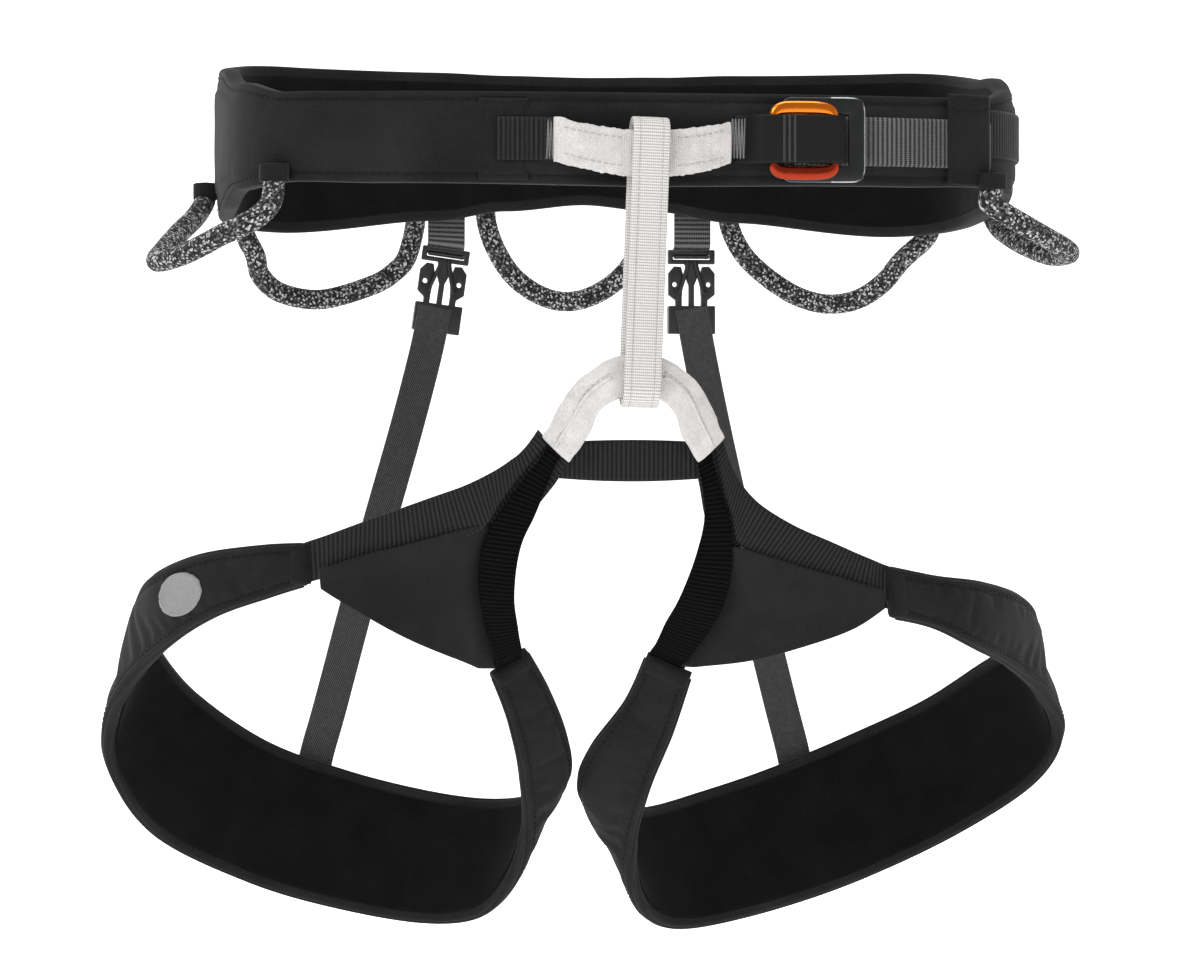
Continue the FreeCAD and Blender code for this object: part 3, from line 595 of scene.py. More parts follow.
# ---- materials -----------------------------------------------------------------------------------
class Shader:
    """A node material built from short calls."""

    def __init__(self, name, color, roughness, **sockets):
        self.material = bpy.data.materials.new(name)
        self.material.use_nodes = True
        self.tree = self.material.node_tree
        self.bsdf = self.tree.nodes["Principled BSDF"]
        self.put(self.bsdf.inputs["Base Color"], color)
        self.put(self.bsdf.inputs["Roughness"], roughness)
        for key, value in sockets.items():
            self.put(self.bsdf.inputs[key.replace("_", " ")], value)

    def put(self, socket, value):
        if isinstance(value, bpy.types.NodeSocket):
            self.tree.links.new(value, socket)
        elif isinstance(value, tuple) and len(value) == 3 and socket.type == "RGBA":
            socket.default_value = value + (1.0,)
        else:
            socket.default_value = value

    def node(self, kind, *inputs, **settings):
        made = self.tree.nodes.new("ShaderNode" + kind)
        for key, value in settings.items():
            setattr(made, key, value)
        for index, value in enumerate(inputs):
            if value is not None:
                self.put(made.inputs[index], value)
        return made

    def math(self, operation, a, b=0.0):
        return self.node("Math", a, b, operation=operation).outputs[0]

    def uv(self):
        split = self.node("SeparateXYZ", self.node("UVMap").outputs[0])
        return split.outputs[0], split.outputs[1]

    def place(self):
        return self.node("TexCoord").outputs["Object"]

    def total(self, *parts):
        """The sum of (value, share) parts."""
        result = self.math("MULTIPLY", *parts[0])
        for value, share in parts[1:]:
            result = self.math("ADD", result, self.math("MULTIPLY", value, share))
        return result

    def noise(self, scale, detail=3.0, roughness=0.55):
        made = self.node("TexNoise", self.place())
        made.inputs["Scale"].default_value = scale
        made.inputs["Detail"].default_value = detail
        made.inputs["Roughness"].default_value = roughness
        return made.outputs[0]

    def ramp(self, value, *stops):
        made = self.node("ValToRGB", value)
        ramp_stops = made.color_ramp.elements
        while len(ramp_stops) < len(stops):
            ramp_stops.new(0.5)
        for element, (at, color) in zip(ramp_stops, stops):
            element.position = at
            element.color = color + (1.0,)
        return made.outputs[0]

    def grey(self, value, low, high, dark, light):
        return self.ramp(value, (low, (dark,) * 3), (high, (light,) * 3))

    def mix(self, factor, a, b):
        made = self.node("Mix", data_type="RGBA")
        self.put(made.inputs[0], factor)
        self.put(made.inputs[6], a)
        self.put(made.inputs[7], b)
        return made.outputs[2]

    def wave(self, value, pitch):
        """0 to 1 and back over each pitch."""
        angle = self.math("MULTIPLY", value, math.pi / pitch)
        return self.math("POWER", self.math("SINE", angle), 2.0)

    def bump(self, height, strength, distance):
        made = self.node("Bump")
        made.inputs["Strength"].default_value = strength
        made.inputs["Distance"].default_value = distance
        self.put(made.inputs["Height"], height)
        self.tree.links.new(made.outputs[0], self.bsdf.inputs["Normal"])

    def colour(self, value):
        self.put(self.bsdf.inputs["Base Color"], value)


def tinted(level, tint):
    return tuple(level * t for t in tint)


def fabric(name, dark, light, pitch, sheen, tint=(1.0, 1.0, 1.0), bump=0.35, rough=0.86, blotch=26.0):
    """A woven cloth: colour drifts a little, single threads show close up."""
    shader = Shader(name, (0.5, 0.5, 0.5), rough, Sheen_Weight=sheen, Sheen_Roughness=0.45,
                    Specular_IOR_Level=0.12)
    drift = shader.noise(blotch, 4.0)
    fuzz = shader.noise(900.0, 2.0)
    u, v = shader.uv()
    threads = shader.math("MULTIPLY", shader.wave(u, pitch), shader.wave(v, pitch))
    level = shader.total((drift, 0.55), (fuzz, 0.3), (threads, 0.15))
    shader.colour(shader.ramp(level, (0.32, tinted(dark, tint)), (0.68, tinted(light, tint))))
    shader.bump(shader.total((threads, 1.0), (fuzz, 0.7)), bump, 0.0003)
    return shader.material


def webbing(name, dark, light, pitch=2.0, tint=(1.0, 1.0, 1.0), rough=0.62, sheen=0.15, bump=0.5,
            shine=0.16):
    """Ribbed webbing: cross ribs, and fine lengthwise yarns."""
    shader = Shader(name, (0.5, 0.5, 0.5), rough, Sheen_Weight=sheen, Sheen_Roughness=0.4,
                    Specular_IOR_Level=shine)
    u, v = shader.uv()
    rib = shader.wave(u, pitch)
    yarn = shader.wave(v, 0.8)
    fuzz = shader.noise(700.0, 2.0)
    level = shader.total((rib, 0.55), (fuzz, 0.2), (yarn, 0.25))
    shader.colour(shader.ramp(level, (0.2, tinted(dark, tint)), (0.85, tinted(light, tint))))
    shader.bump(shader.total((yarn, 0.6), (fuzz, 1.0)), bump, 0.0002)
    return shader.material


def twill(name, dark, light):
    """Elastic strap: a steep diagonal twill."""
    shader = Shader(name, (0.5, 0.5, 0.5), 0.66, Sheen_Weight=0.06, Sheen_Roughness=0.4,
                    Specular_IOR_Level=0.16)
    u, v = shader.uv()
    rib = shader.wave(shader.total((u, 1.0), (v, 1.2)), 1.3)
    level = shader.total((rib, 0.65), (shader.noise(600.0, 2.0), 0.35))
    shader.colour(shader.grey(level, 0.2, 0.85, dark, light))
    shader.bump(rib, 0.6, 0.0003)
    return shader.material


def braid():
    """The gear loops' sheath: each strand of the braid is black, white or grey at random."""
    shader = Shader("braid", (0.5, 0.5, 0.5), 0.75, Sheen_Weight=0.03, Specular_IOR_Level=0.15)
    u, v = shader.uv()
    strand = [shader.math("FLOOR", shader.math("DIVIDE", shader.math(way, u, v), BRAID_PITCH))
              for way in ("ADD", "SUBTRACT")]
    joined = shader.node("CombineXYZ", *strand, 0.0).outputs[0]
    cell = shader.node("TexWhiteNoise", joined, noise_dimensions="3D").outputs["Value"]
    color = shader.node("ValToRGB", cell)
    color.color_ramp.interpolation = "CONSTANT"
    stops = color.color_ramp.elements
    stops[0].position = 0.0
    stops[0].color = (0.006, 0.006, 0.007, 1)
    stops[1].position = 0.52
    stops[1].color = (0.05, 0.05, 0.053, 1)
    for at, level in ((0.68, 0.15), (0.84, 0.50)):
        stop = stops.new(at)
        stop.color = (level, level, level, 1)
    fibre = shader.noise(1200.0, 2.0)
    shader.colour(shader.mix(shader.math("MULTIPLY", fibre, 0.15), color.outputs[0], (0.1, 0.1, 0.1)))
    shader.bump(fibre, 0.4, 0.0003)
    return shader.material


def metal(name, color, edge, rough=0.28, coat=0.3, metallic=1.0, low=None):
    """Anodised aluminium with faint tumbling marks, brighter where a hand rubs it.

    low is a darker colour painted on its lower bar as shade: the colour fades from the main colour at the top
    bar down to low at the bottom, by height.
    """
    shader = Shader(name, color, rough, Metallic=metallic, Coat_Weight=coat, Coat_Roughness=0.12)
    if low:
        # Painted shade: darker towards the bottom, from color at the top bar down to low at the lower bar, by
        # height in the object.
        height = shader.node("SeparateXYZ", shader.place()).outputs[2]
        up = shader.math("ADD", shader.math("MULTIPLY", height, 38.0), 0.5)
        color = shader.ramp(up, (0.1, low), (0.9, color))
    grain = shader.noise(160.0, 6.0, 0.7)
    wear = shader.math("MULTIPLY", shader.noise(38.0, 3.0), shader.noise(240.0, 2.0))
    mask = shader.ramp(wear, (0.30, (0.0,) * 3), (0.52, (1.0,) * 3))
    if low:
        mask = shader.math("MULTIPLY", mask, 0.25)
    shader.colour(shader.mix(mask, color, edge))
    shader.put(shader.bsdf.inputs["Roughness"], shader.grey(grain, 0.3, 0.7, rough * 0.8, rough * 1.5))
    shader.bump(grain, 0.06, 0.0002)
    return shader.material


def plastic(name, level, rough=0.38):
    """Moulded acetal with a fine satin texture."""
    shader = Shader(name, (level,) * 3, rough, Specular_IOR_Level=0.5)
    grain = shader.noise(1500.0, 2.0)
    tone = shader.noise(90.0, 3.0)
    shader.colour(shader.grey(tone, 0.3, 0.7, level * 0.8, level * 1.3))
    shader.put(shader.bsdf.inputs["Roughness"], shader.grey(tone, 0.3, 0.7, rough * 0.85, rough * 1.2))
    shader.bump(grain, 0.12, 0.0001)
    return shader.material


MATERIALS = {
    "belt_fabric": fabric("charcoal_fabric", 0.007, 0.019, 0.8, 0.05),
    "panel_fabric": fabric("stretch_fabric", 0.008, 0.017, 0.7, 0.07, blotch=40.0),
    "lining": fabric("lining_microfibre", 0.0015, 0.005, 1.1, 0.02, rough=0.96, blotch=60.0),
    "binding": fabric("edge_binding", 0.008, 0.020, 0.6, 0.05),
    "webbing_black": webbing("webbing_black", 0.001, 0.022, pitch=1.9, sheen=0.04),
    "webbing_smooth": webbing("webbing_smooth", 0.003, 0.009, pitch=0.9, bump=0.3, sheen=0.02),
    "webbing_grey": webbing("webbing_grey", 0.005, 0.16, sheen=0.06),
    "thread_black": webbing("thread_black", 0.004, 0.014, pitch=0.5, sheen=0.04),
    "wrap_rib": webbing("wrap_rib", 0.02, 0.06, pitch=0.5, sheen=0.04),
    "webbing_inner": webbing("webbing_inner", 0.0005, 0.006, pitch=1.9, sheen=0.0, rough=0.8, shine=0.04),
    "thread_grey": webbing("thread_grey", 0.07, 0.25, pitch=0.5),
    "thread_white": webbing("thread_white", 0.40, 0.58, pitch=0.5, tint=(1.0, 0.985, 0.96)),
    "elastic": twill("elastic_twill", 0.008, 0.085),
    "sleeve_white": fabric("sleeve_white", 0.50, 0.76, 0.9, 0.1, tint=(1.0, 0.965, 0.955), bump=0.9,
                           blotch=90.0),
    "belay_white": webbing("belay_white", 0.36, 0.74, pitch=LOOP_RIB, tint=(1.0, 0.975, 0.945), sheen=0.1,
                           bump=0.7),
    "braid": braid(),
    # The plate's lower bar gets painted shade through low, darker towards the bottom.
    "orange": metal("anodised_orange", (0.85, 0.20, 0.008), (0.80, 0.17, 0.008), 0.2, 0.3,
                    low=(0.30, 0.022, 0.002)),
    "black_metal": metal("anodised_black", (0.012, 0.013, 0.014), (0.04, 0.04, 0.045), 0.32, 0.2, 0.6),
    "silver": metal("bare_edge", (0.50, 0.51, 0.52), (0.75, 0.75, 0.76), 0.22, 0.0),
    "plastic": plastic("acetal_black", 0.006, 0.42),
    "badge": fabric("badge_weave", 0.20, 0.30, 0.6, 0.05),
}
MATERIALS["belay_thread"] = MATERIALS["thread_white"]


# ---- belt ----------------------------------------------------------------------------------------
def belt_plan(angle, out):
    """A point of the belt's outer surface, moved outwards, at an angle in degrees from the front."""
    a = math.radians(angle)
    sx = math.sin(a)
    cy = -math.cos(a)
    power = FRONT_SQUARENESS if cy < 0 else REAR_SQUARENESS
    reach = (abs(sx) / BELT_HALF_WIDTH) ** power + (abs(cy) / BELT_HALF_DEPTH) ** power
    radius = reach ** (-1 / power)
    x = radius * sx
    y = radius * cy
    nx = math.copysign((abs(x) / BELT_HALF_WIDTH) ** (power - 1) / BELT_HALF_WIDTH, x)
    ny = math.copysign((abs(y) / BELT_HALF_DEPTH) ** (power - 1) / BELT_HALF_DEPTH, y)
    size = math.hypot(nx, ny)
    return x + out * nx / size, y + out * ny / size


def belt_edge(angle, which):
    """Height of the belt's lower (1) or upper (2) edge at an angle from the front."""
    turn = abs((angle + 180) % 360 - 180)
    for first, second in zip(BELT_EDGES, BELT_EDGES[1:]):
        if turn <= second[0]:
            t = (turn - first[0]) / (second[0] - first[0])
            blend = t * t * (3 - 2 * t)
            return first[which] + (second[which] - first[which]) * blend
    return BELT_EDGES[-1][which]


def front_angle(x):
    y = BELT_HALF_DEPTH * (1 - (abs(x) / BELT_HALF_WIDTH) ** FRONT_SQUARENESS) ** (1 / FRONT_SQUARENESS)
    return math.degrees(math.atan2(x, y))


def belt_rows(angle0, angle1, low, high, out, step=2.0):
    """Upper and lower edge points on the belt between two angles."""
    count = max(int(abs(angle1 - angle0) / step), 2)
    rows = []
    for i in range(count + 1):
        angle = angle0 + (angle1 - angle0) * i / count
        x, y = belt_plan(angle, out)
        rows.append((x, y, high(angle) if callable(high) else high,
                     x, y, low(angle) if callable(low) else low))
    return rows


def belt_wave(p, normal):
    """The slight unevenness of a sewn padded band."""
    return p + normal * (0.45 * hills(p, 34, 1.7) + 0.2 * hills(p, 11, 4.1))


def make_belt():
    rows = []
    for i in range(720):
        angle = 0.5 * i
        x, y = belt_plan(angle, 0)
        rows.append((x, y, belt_edge(angle, 2), x, y, belt_edge(angle, 1)))
    rows, step = resample(rows, 2.0, True)
    frames = ribbon(rows, True)

    def profile(i, width):
        return pad_profile(width, BELT_THICKNESS, 7.0, 31, 0.1,
                           [(BELT_SEAM, 0.8, 0.9), (width - BELT_SEAM, 0.8, 0.9)])

    held = set(range(0, 8)) | set(range(23, 60))
    body = loft("belt_padded_band", rings_of(frames, profile, belt_wave), "belt_fabric",
                None, True, step, held)
    let_go(body)
    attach(body, ROOT)
    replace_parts(body, "belt_outer_shell", "belt_foam_core", "belt_load_webbing")

    def lining_profile(i, width):
        section = pad_profile(width - 2 * BELT_LINING_INSET, 1.4, 6.0, 15, 0.35)
        return [(w + BELT_LINING_INSET, b - BELT_THICKNESS + 1.15) for w, b in section]

    lining = loft("belt_lining", rings_of(frames, lining_profile, belt_wave), "lining", ROOT, True, step)
    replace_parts(lining, "belt_inner_lining")
    for name, edge in (("top", 0), ("bottom", 1)):
        rim = beside_edge(frames, edge, RIM_RADIUS, BELT_THICKNESS / 2)
        thread = beside_edge(frames, edge, BELT_SEAM, THREAD_DEPTH, belt_wave)
        tube("belt_%s_rim" % name, rim, RIM_RADIUS, "binding", ROOT, 12, True, 2.2)
        stitches("belt_%s_stitching" % name, thread + thread[:1], "thread_black", ROOT)


def belt_strap(name, x0, x1, low, high, out, thick, material, node, **options):
    """A strap that lies on the front of the belt between two places along it, out millimetres off it."""
    rows = belt_rows(front_angle(x0), front_angle(x1), low, high, out + thick)
    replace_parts(strap(name, rows, thick, material, ROOT, **options), node)


def stitched_box(name, x0, x1, low, high, out, inset):
    """Stitching round the edge of a patch on the front of the belt."""
    a0 = front_angle(x0 + inset)
    a1 = front_angle(x1 - inset)
    low += inset
    high -= inset
    corners = [(a0, low), (a1, low), (a1, high), (a0, high), (a0, low)]
    path = []
    for (s0, z0), (s1, z1) in zip(corners, corners[1:]):
        for k in range(12):
            t = k / 12
            x, y = belt_plan(s0 + (s1 - s0) * t, out)
            path.append(Vector((x, y, z0 + (z1 - z0) * t)))
    stitches(name, path, "thread_black", ROOT, 2.4, 1.8, 0.2)


def bartack(name, x0, x1, low, high, out, pitch=0.55):
    """A dense zigzag of thread across a strap."""
    path = []
    count = int((x1 - x0) / pitch)
    for k in range(count + 1):
        x = x0 + (x1 - x0) * k / count
        px, py = belt_plan(front_angle(x), out)
        path.append(Vector((px, py, high if k % 2 else low)))
    return tube(name, path, 0.36, "thread_grey", ROOT, 6, False, 0.8)


def make_belt_straps():
    belt_strap("reinforcement_patch", -68, -48, -17, 16, 0.2, 0.8, "belt_fabric", "belt_reinforcement_patch",
               ribs=0.0, step=1.0)
    stitched_box("patch_stitching", -68, -48, -17, 16, 1.1, 1.6)
    belt_strap("tie_in_webbing_right_end", -61, -36, -9, 8.5, 1.0, 1.8, "webbing_black",
               "tie_in_webbing_left", ribs=0.5, pitch=2.6)
    belt_strap("waist_strap_piece", 58, 146, -10, 10, 0.3, 1.6, "webbing_grey", "waist_strap", ribs=0.55,
               pitch=2.05)
    belt_strap("strap_keeper_sleeve", 125.5, 144.5, -17, 20.5, 2.2, 1.1, "belt_fabric", "strap_keeper",
               ribs=0.0, step=1.0)
    stitched_box("keeper_stitching_lower", 126.5, 144, -17, -11.5, 3.4, 1.0)
    stitched_box("keeper_stitching_upper", 126.5, 144, 12.5, 20, 3.4, 1.0)
    rows = belt_rows(front_angle(144), 85, -5, 15, 1.9)
    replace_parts(strap("waist_strap_end", rows, 1.6, "webbing_black", ROOT, ribs=0.3), "waist_strap_tail")
    right = bartack("bartack_right_end", -40.6, -36.0, -8.5, 7.5, 3.0)
    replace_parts(right, "tie_in_bartacks")
    bartack("bartack_left_end", 34.2, 40.0, -8, 8.5, 4.7, 0.62)


# ---- tie-in sleeves and belay loop ---------------------------------------------------------------
def oval(centre, across, through, half_width, half_thick, sides, power):
    """A ring that is rounder the nearer power is to 2, and squarer above."""
    ring = []
    for k in range(sides):
        a = 2 * math.pi * (k + 0.5) / sides
        s = math.sin(a)
        c = math.cos(a)
        ring.append(centre + across * (half_width * math.copysign(abs(s) ** (2 / power), s))
                    + through * (half_thick * math.copysign(abs(c) ** (2 / power), c)))
    return ring


def crease(p, size, seed):
    """Short gathers across a sleeve."""
    return hills(p, size, seed) + 0.5 * hills(p, size * 0.4, seed + 3)


def sleeve_at(x):
    """Centre and half height of the upper sleeve at a place along it."""
    rise = max(1 - (x / SLEEVE_REACH) ** 2, 0.0)
    y, z, half = (end + (crown - end) * rise for end, crown in
                  zip(SLEEVE_END + SLEEVE_HALF_HEIGHT[:1], SLEEVE_CROWN + SLEEVE_HALF_HEIGHT[1:]))
    return Vector((x, y, z)), half


def gathered(ring, centre, size, seed, wide=1.0, high=1.0):
    """A ring with short gathers in it. wide and high scale the noise along X and Z."""
    return [q + (q - centre).normalized() * 0.5 * crease(Vector((q.x * wide, q.y, q.z * high)), size, seed)
            for q in ring]


def make_upper_sleeve():
    rings = []
    count = 150
    length = SLEEVE_LAST - SLEEVE_FIRST
    for i in range(count + 1):
        x = SLEEVE_FIRST + length * i / count
        centre, half = sleeve_at(x)
        half *= 1.0 + 0.06 * math.exp(-((abs(x) - 34) / 3.0) ** 2) - 0.12 * max(x - 26, 0) / 8
        ring = oval(centre, UP, BACKWARDS, half, SLEEVE_HALF_THICK, 36, 2.6)
        if abs(x) > GATHER_FROM:
            ring = gathered(ring, centre, 6.0, 2.0, 2.6, 0.7)
        rings.append(ring)
    sleeve = loft("upper_tie_in_sleeve", rings, "sleeve_white", ROOT, False, length / count)
    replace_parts(sleeve, "tie_in_sleeve", "tie_in_webbing_core")
    for height, level in ((0.62, "upper"), (-0.58, "lower")):
        for side, reach, end in ((-1, 23.5, "right"), (1, 20.0, "left")):
            path = []
            for k in range(14):
                centre, half = sleeve_at(side * (11 + reach * k / 13))
                path.append(centre + Vector((0, -2.5, half * height)))
            stitches("sleeve_stitching_%s_%s" % (level, end), path, "thread_white", ROOT, 2.6, 2.0)


def arch_stations():
    half = smooth([outer + inner + (y,) for outer, inner, y in ARCH], 10)
    stations = [(-s[0], s[1], -s[2], s[3], s[4]) for s in reversed(half[1:])] + half
    return [(ox + ARCH_SHIFT, y, oz, ix + ARCH_SHIFT, y, iz) for ox, oz, ix, iz, y in stations]


def make_lower_sleeve():
    rows, step = resample(arch_stations(), 0.9)
    rings = []
    ridge = []
    count = len(rows)
    for i, row in enumerate(rows):
        outer = Vector(row[:3])
        inner = Vector(row[3:])
        across = (outer - inner).normalized()
        through = across.cross(heading(rows, i)).normalized()
        if through.y > 0:
            through = -through
        centre = (outer + inner) / 2
        half = (outer - inner).length / 2
        mouth = min(i, count - 1 - i) * step
        flare = 1 + 0.05 * math.exp(-(mouth / 3) ** 2)
        ring = oval(centre, across, through, half * flare, ARCH_HALF_THICK, 32, 2.6)
        if abs(centre.x - ARCH_SHIFT) > GATHER_FROM:
            ring = gathered(ring, centre, 7.0, 5.0)
        rings.append(ring)
        ridge.append(centre + across * half * 0.12 + through * (ARCH_HALF_THICK + 0.1))
    piece = loft("lower_tie_in_arch", rings, "sleeve_white", ROOT, False, step)
    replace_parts(piece, "lower_tie_in_sleeve", "lower_tie_in_webbing")
    gap = int(10.5 / step)
    middle = count // 2
    for name, part in (("a", ridge[2:middle - gap]), ("b", ridge[middle + gap:-2])):
        tube("arch_seam_ridge_" + name, part, 0.7, "sleeve_white", ROOT, 10, False, 0.8)
        stitches("arch_stitching_" + name, [p + Vector((0, -0.35, 1.9)) for p in part], "thread_white",
                 ROOT, 2.6, 2.0, 0.2)
    make_bridge()


def make_bridge():
    """The webbing under the arch, bowed forwards and down between the leg loops."""
    half = 33
    rows = []
    for k in range(15):
        x = -half + 2 * half * k / 14
        share = (x / half) ** 2
        bow = -1.2 * (1 - share)
        rows.append((x + ARCH_SHIFT, -88.6 + bow, -121.6 - 1.2 * share,
                     x + ARCH_SHIFT, -88.0 + bow, -138.6 + 1.6 * share))
    web = strap("bridge_webbing", rows, 2.0, "webbing_black", ROOT, ribs=0.35, pitch=2.4, out=1.0)
    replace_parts(web, "leg_bridge_webbing")


def loop_path(radius):
    """A stadium in Y and Z, as points with their outward direction."""
    points = []
    turns = 26
    for k in range(turns + 1):
        a = math.pi * k / turns
        points.append((radius * math.cos(a), radius * math.sin(a), math.cos(a), math.sin(a)))
    straight = int(LOOP_LENGTH / LOOP_STEP)
    for k in range(1, straight):
        points.append((-radius, -LOOP_LENGTH * k / straight, -1.0, 0.0))
    for k in range(turns + 1):
        a = math.pi + math.pi * k / turns
        points.append((radius * math.cos(a), -LOOP_LENGTH + radius * math.sin(a), math.cos(a), math.sin(a)))
    for k in range(1, straight):
        points.append((radius, -LOOP_LENGTH + LOOP_LENGTH * k / straight, 1.0, 0.0))
    return points


def lean(p):
    """Turn a belay loop point about the upper tie-in, so that the loop leans to the wearer's right."""
    c = math.cos(LOOP_LEAN)
    s = math.sin(LOOP_LEAN)
    return Vector((p.x * c + p.z * s, p.y, p.z * c - p.x * s))


def belay_profile(half, rib):
    """A flat woven section with a groove beside each selvedge, as (across, outwards) points."""
    outer = []
    inner = []
    for x in spread(17):
        edge = max(1 - abs(x) ** 10, 0.0) ** 0.3
        band = rib if abs(x) < 0.5 else 0.05
        groove = -0.22 * math.exp(-((abs(x) - LOOP_GROOVE) / 0.09) ** 2)
        outer.append((x * half, (LOOP_LAYER / 2) * edge + (band + groove) * edge))
        inner.append((x * half, -(LOOP_LAYER / 2) * edge))
    return outer + inner[-2:0:-1]


def make_belay_loop():
    for word, inner, half in (("inner", LOOP_INNER, 7.2),
                              ("outer", LOOP_INNER + LOOP_LAYER, LOOP_HALF_WIDTH)):
        rings = []
        path = loop_path(inner + LOOP_LAYER / 2)
        run = 0.0
        for i, (y, z, ny, nz) in enumerate(path):
            if i:
                run += math.hypot(y - path[i - 1][0], z - path[i - 1][1])
            rib = 0.13 * math.sin(math.pi * run / LOOP_RIB) ** 2
            rings.append([lean(Vector((x, LOOP_Y + y + ny * out, z + nz * out)))
                          for x, out in belay_profile(half, rib)])
        layer = loft("belay_loop_" + word, rings, "belay_white", "belay_loop", True, LOOP_STEP)
        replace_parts(layer, "belay_loop_%s_layer" % word)
    face = LOOP_INNER + 2 * LOOP_LAYER
    for side in (-1, 1):
        path = [lean(Vector((side * LOOP_HALF_WIDTH * LOOP_GROOVE, LOOP_Y + y, z)))
                for y, z, ny, nz in loop_path(face - 0.02)]
        stitches("belay_loop_stitching_%d" % (side + 1), path, "belay_thread", "belay_loop", 2.3, 1.9, 0.24)
    for k, z in enumerate((-44, -56, -68)):
        path = [lean(Vector((-5.6 + 0.8 * j, LOOP_Y + face + 0.15, z + (1.6 if j % 2 else -1.6))))
                for j in range(15)]
        tube("belay_loop_bartack_%d" % k, path, 0.34, "thread_grey", "belay_loop", 6, False, 0.7)


# ---- waist buckle --------------------------------------------------------------------------------
def orange_plate():
    """The plate behind the webbing: a rounded ring whose two bars swell towards their middle."""
    corners = [(51.2, -9), (52.5, -11.8), (56, -13), (63, -13.2), (70, -13), (74.5, -12), (76.2, -9),
               (76.2, 0), (76.2, 9), (74.5, 12), (70, 13), (63, 13.2), (56, 13), (52.5, 11.8), (51.2, 9),
               (51.2, 0)]
    path = smooth([(x, -105.2, z - 0.5) for x, z in corners], 6, True)
    rows, step = resample(path, 0.7, True)
    rings = []
    for i, row in enumerate(rows):
        p = Vector(row)
        before, after = neighbours(rows, i, True)
        along = (Vector(after) - Vector(before)).normalized()
        bar = min(max((abs(p.z) - 9) / 3.5, 0), 1)
        rings.append(oval(p, BACKWARDS.cross(along), BACKWARDS, 1.7 + 1.1 * bar, 1.3, 20, 2.2))
    plate = loft("buckle_orange_plate", rings, "orange", "waist_buckle_slider", True, step)
    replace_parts(plate, "waist_buckle_slider")


def make_waist_buckle():
    from_node("buckle_frame_plate", "waist_buckle_frame", "black_metal", "waist_buckle", 0.7, 4)
    orange_plate()
    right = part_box("waist_buckle_frame")[1].x / MM
    half_edge = [(right - 14.0, 17.0), (right - 5.0, 16.9), (right - 1.8, 15.6), (right - 0.25, 12.6),
                 (right - 0.1, 8)]
    path = half_edge + [(x, -z) for x, z in reversed(half_edge)]
    tube("buckle_frame_bright_edge", smooth([(x, -103.3, z) for x, z in path], 6), 0.3, "silver",
         "waist_buckle", 8, False, 0.5)
    half = 9.8
    route = [(66, -102.7), (72, -102.7), (77.6, -103.0), (79.4, -104.2), (79.5, -105.6), (78.2, -107.2),
             (74, -107.7), (66, -107.7), (58, -107.7), (50, -107.7), (46, -107.4), (43, -105.0),
             (41, -101.8), (38.8, -100.2), (36, -99.5)]
    rows = [(x, y, half, x, y, -half) for x, y in route]
    web = strap("buckle_wrap_webbing", rows, 1.4, "webbing_smooth", None, ribs=0.08, pitch=1.0, out=0.7)
    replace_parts(web, "buckle_webbing", "tie_in_webbing_right")
    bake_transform(web)
    for k, x in enumerate((55.0, 57.2, 59.4)):
        tube("buckle_wrap_rib_%d" % k, [(x, -108.1, z) for z in (-9.4, -3, 3, 9.4)], 0.62, "wrap_rib",
             "waist_buckle", 10, False, 0.6)


# ---- gear loops ----------------------------------------------------------------------------------
def angle_beside_belt(point):
    """The angle at which a gear loop's centre line, lying against the belt, is in line with a point."""
    goal = math.degrees(math.atan2(point.x, -point.y))
    angle = goal
    for _ in range(4):
        x, y = belt_plan(angle, GEAR_RADIUS + GEAR_CLEAR)
        angle += goal - math.degrees(math.atan2(x, -y))
    return angle


def off_belt(point, snap):
    """Keep a gear loop's centre line just clear of the belt. A sewn end snaps to that distance."""
    angle = angle_beside_belt(point)
    x, y = belt_plan(angle, GEAR_RADIUS + GEAR_CLEAR)
    beside = point.z > belt_edge(angle, 1) - GEAR_RADIUS
    if snap or (beside and math.hypot(point.x, point.y) < math.hypot(x, y)):
        return Vector((x, y, point.z))
    return point


def strands(s, angle):
    """Height of the braid's strands on a gear loop."""
    around = angle * GEAR_RADIUS
    plus = math.sin(math.pi * (s + around) / BRAID_PITCH)
    minus = math.sin(math.pi * (s - around) / BRAID_PITCH)
    return 0.34 * (abs(plus) * abs(minus)) ** 0.5 - 0.25


def make_gear_loops():
    for short, points in GEAR_LOOPS.items():
        name = "gear_loop_" + short
        last = len(points) - 1
        route = [off_belt(Vector(p), i in (0, last)) for i, p in enumerate(points)]
        first_stub, last_stub = (p + Vector((0, 0, STUB_HEIGHT)) for p in (route[0], route[-1]))
        path = smooth([tuple(p) for p in [first_stub] + route + [last_stub]], 12)
        cord = tube(name + "_braid", path, GEAR_RADIUS, "braid", name, 40, False, 0.4, 1.0, strands)
        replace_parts(cord, name + "_sheath", name + "_core")
        for end, p in (("first", route[0]), ("last", route[-1])):
            angle = angle_beside_belt(p)
            low = p.z + 0.5
            high = low + TAB_HEIGHT
            if p.x > 0 and p.y < 0:
                high = min(high, TAB_TOP)
            rows = belt_rows(angle - TAB_HALF_ANGLE, angle + TAB_HALF_ANGLE, low, high, 0.0, 0.4)
            tab = strap("%s_%s_tab" % (name, end), rows, 10.2, "belt_fabric", ROOT, ribs=0.0, step=0.6,
                        out=10.0, end_round=4.0)
            if (short, end) == ("front_right", "first"):
                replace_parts(tab, "gear_loop_anchor_tabs")


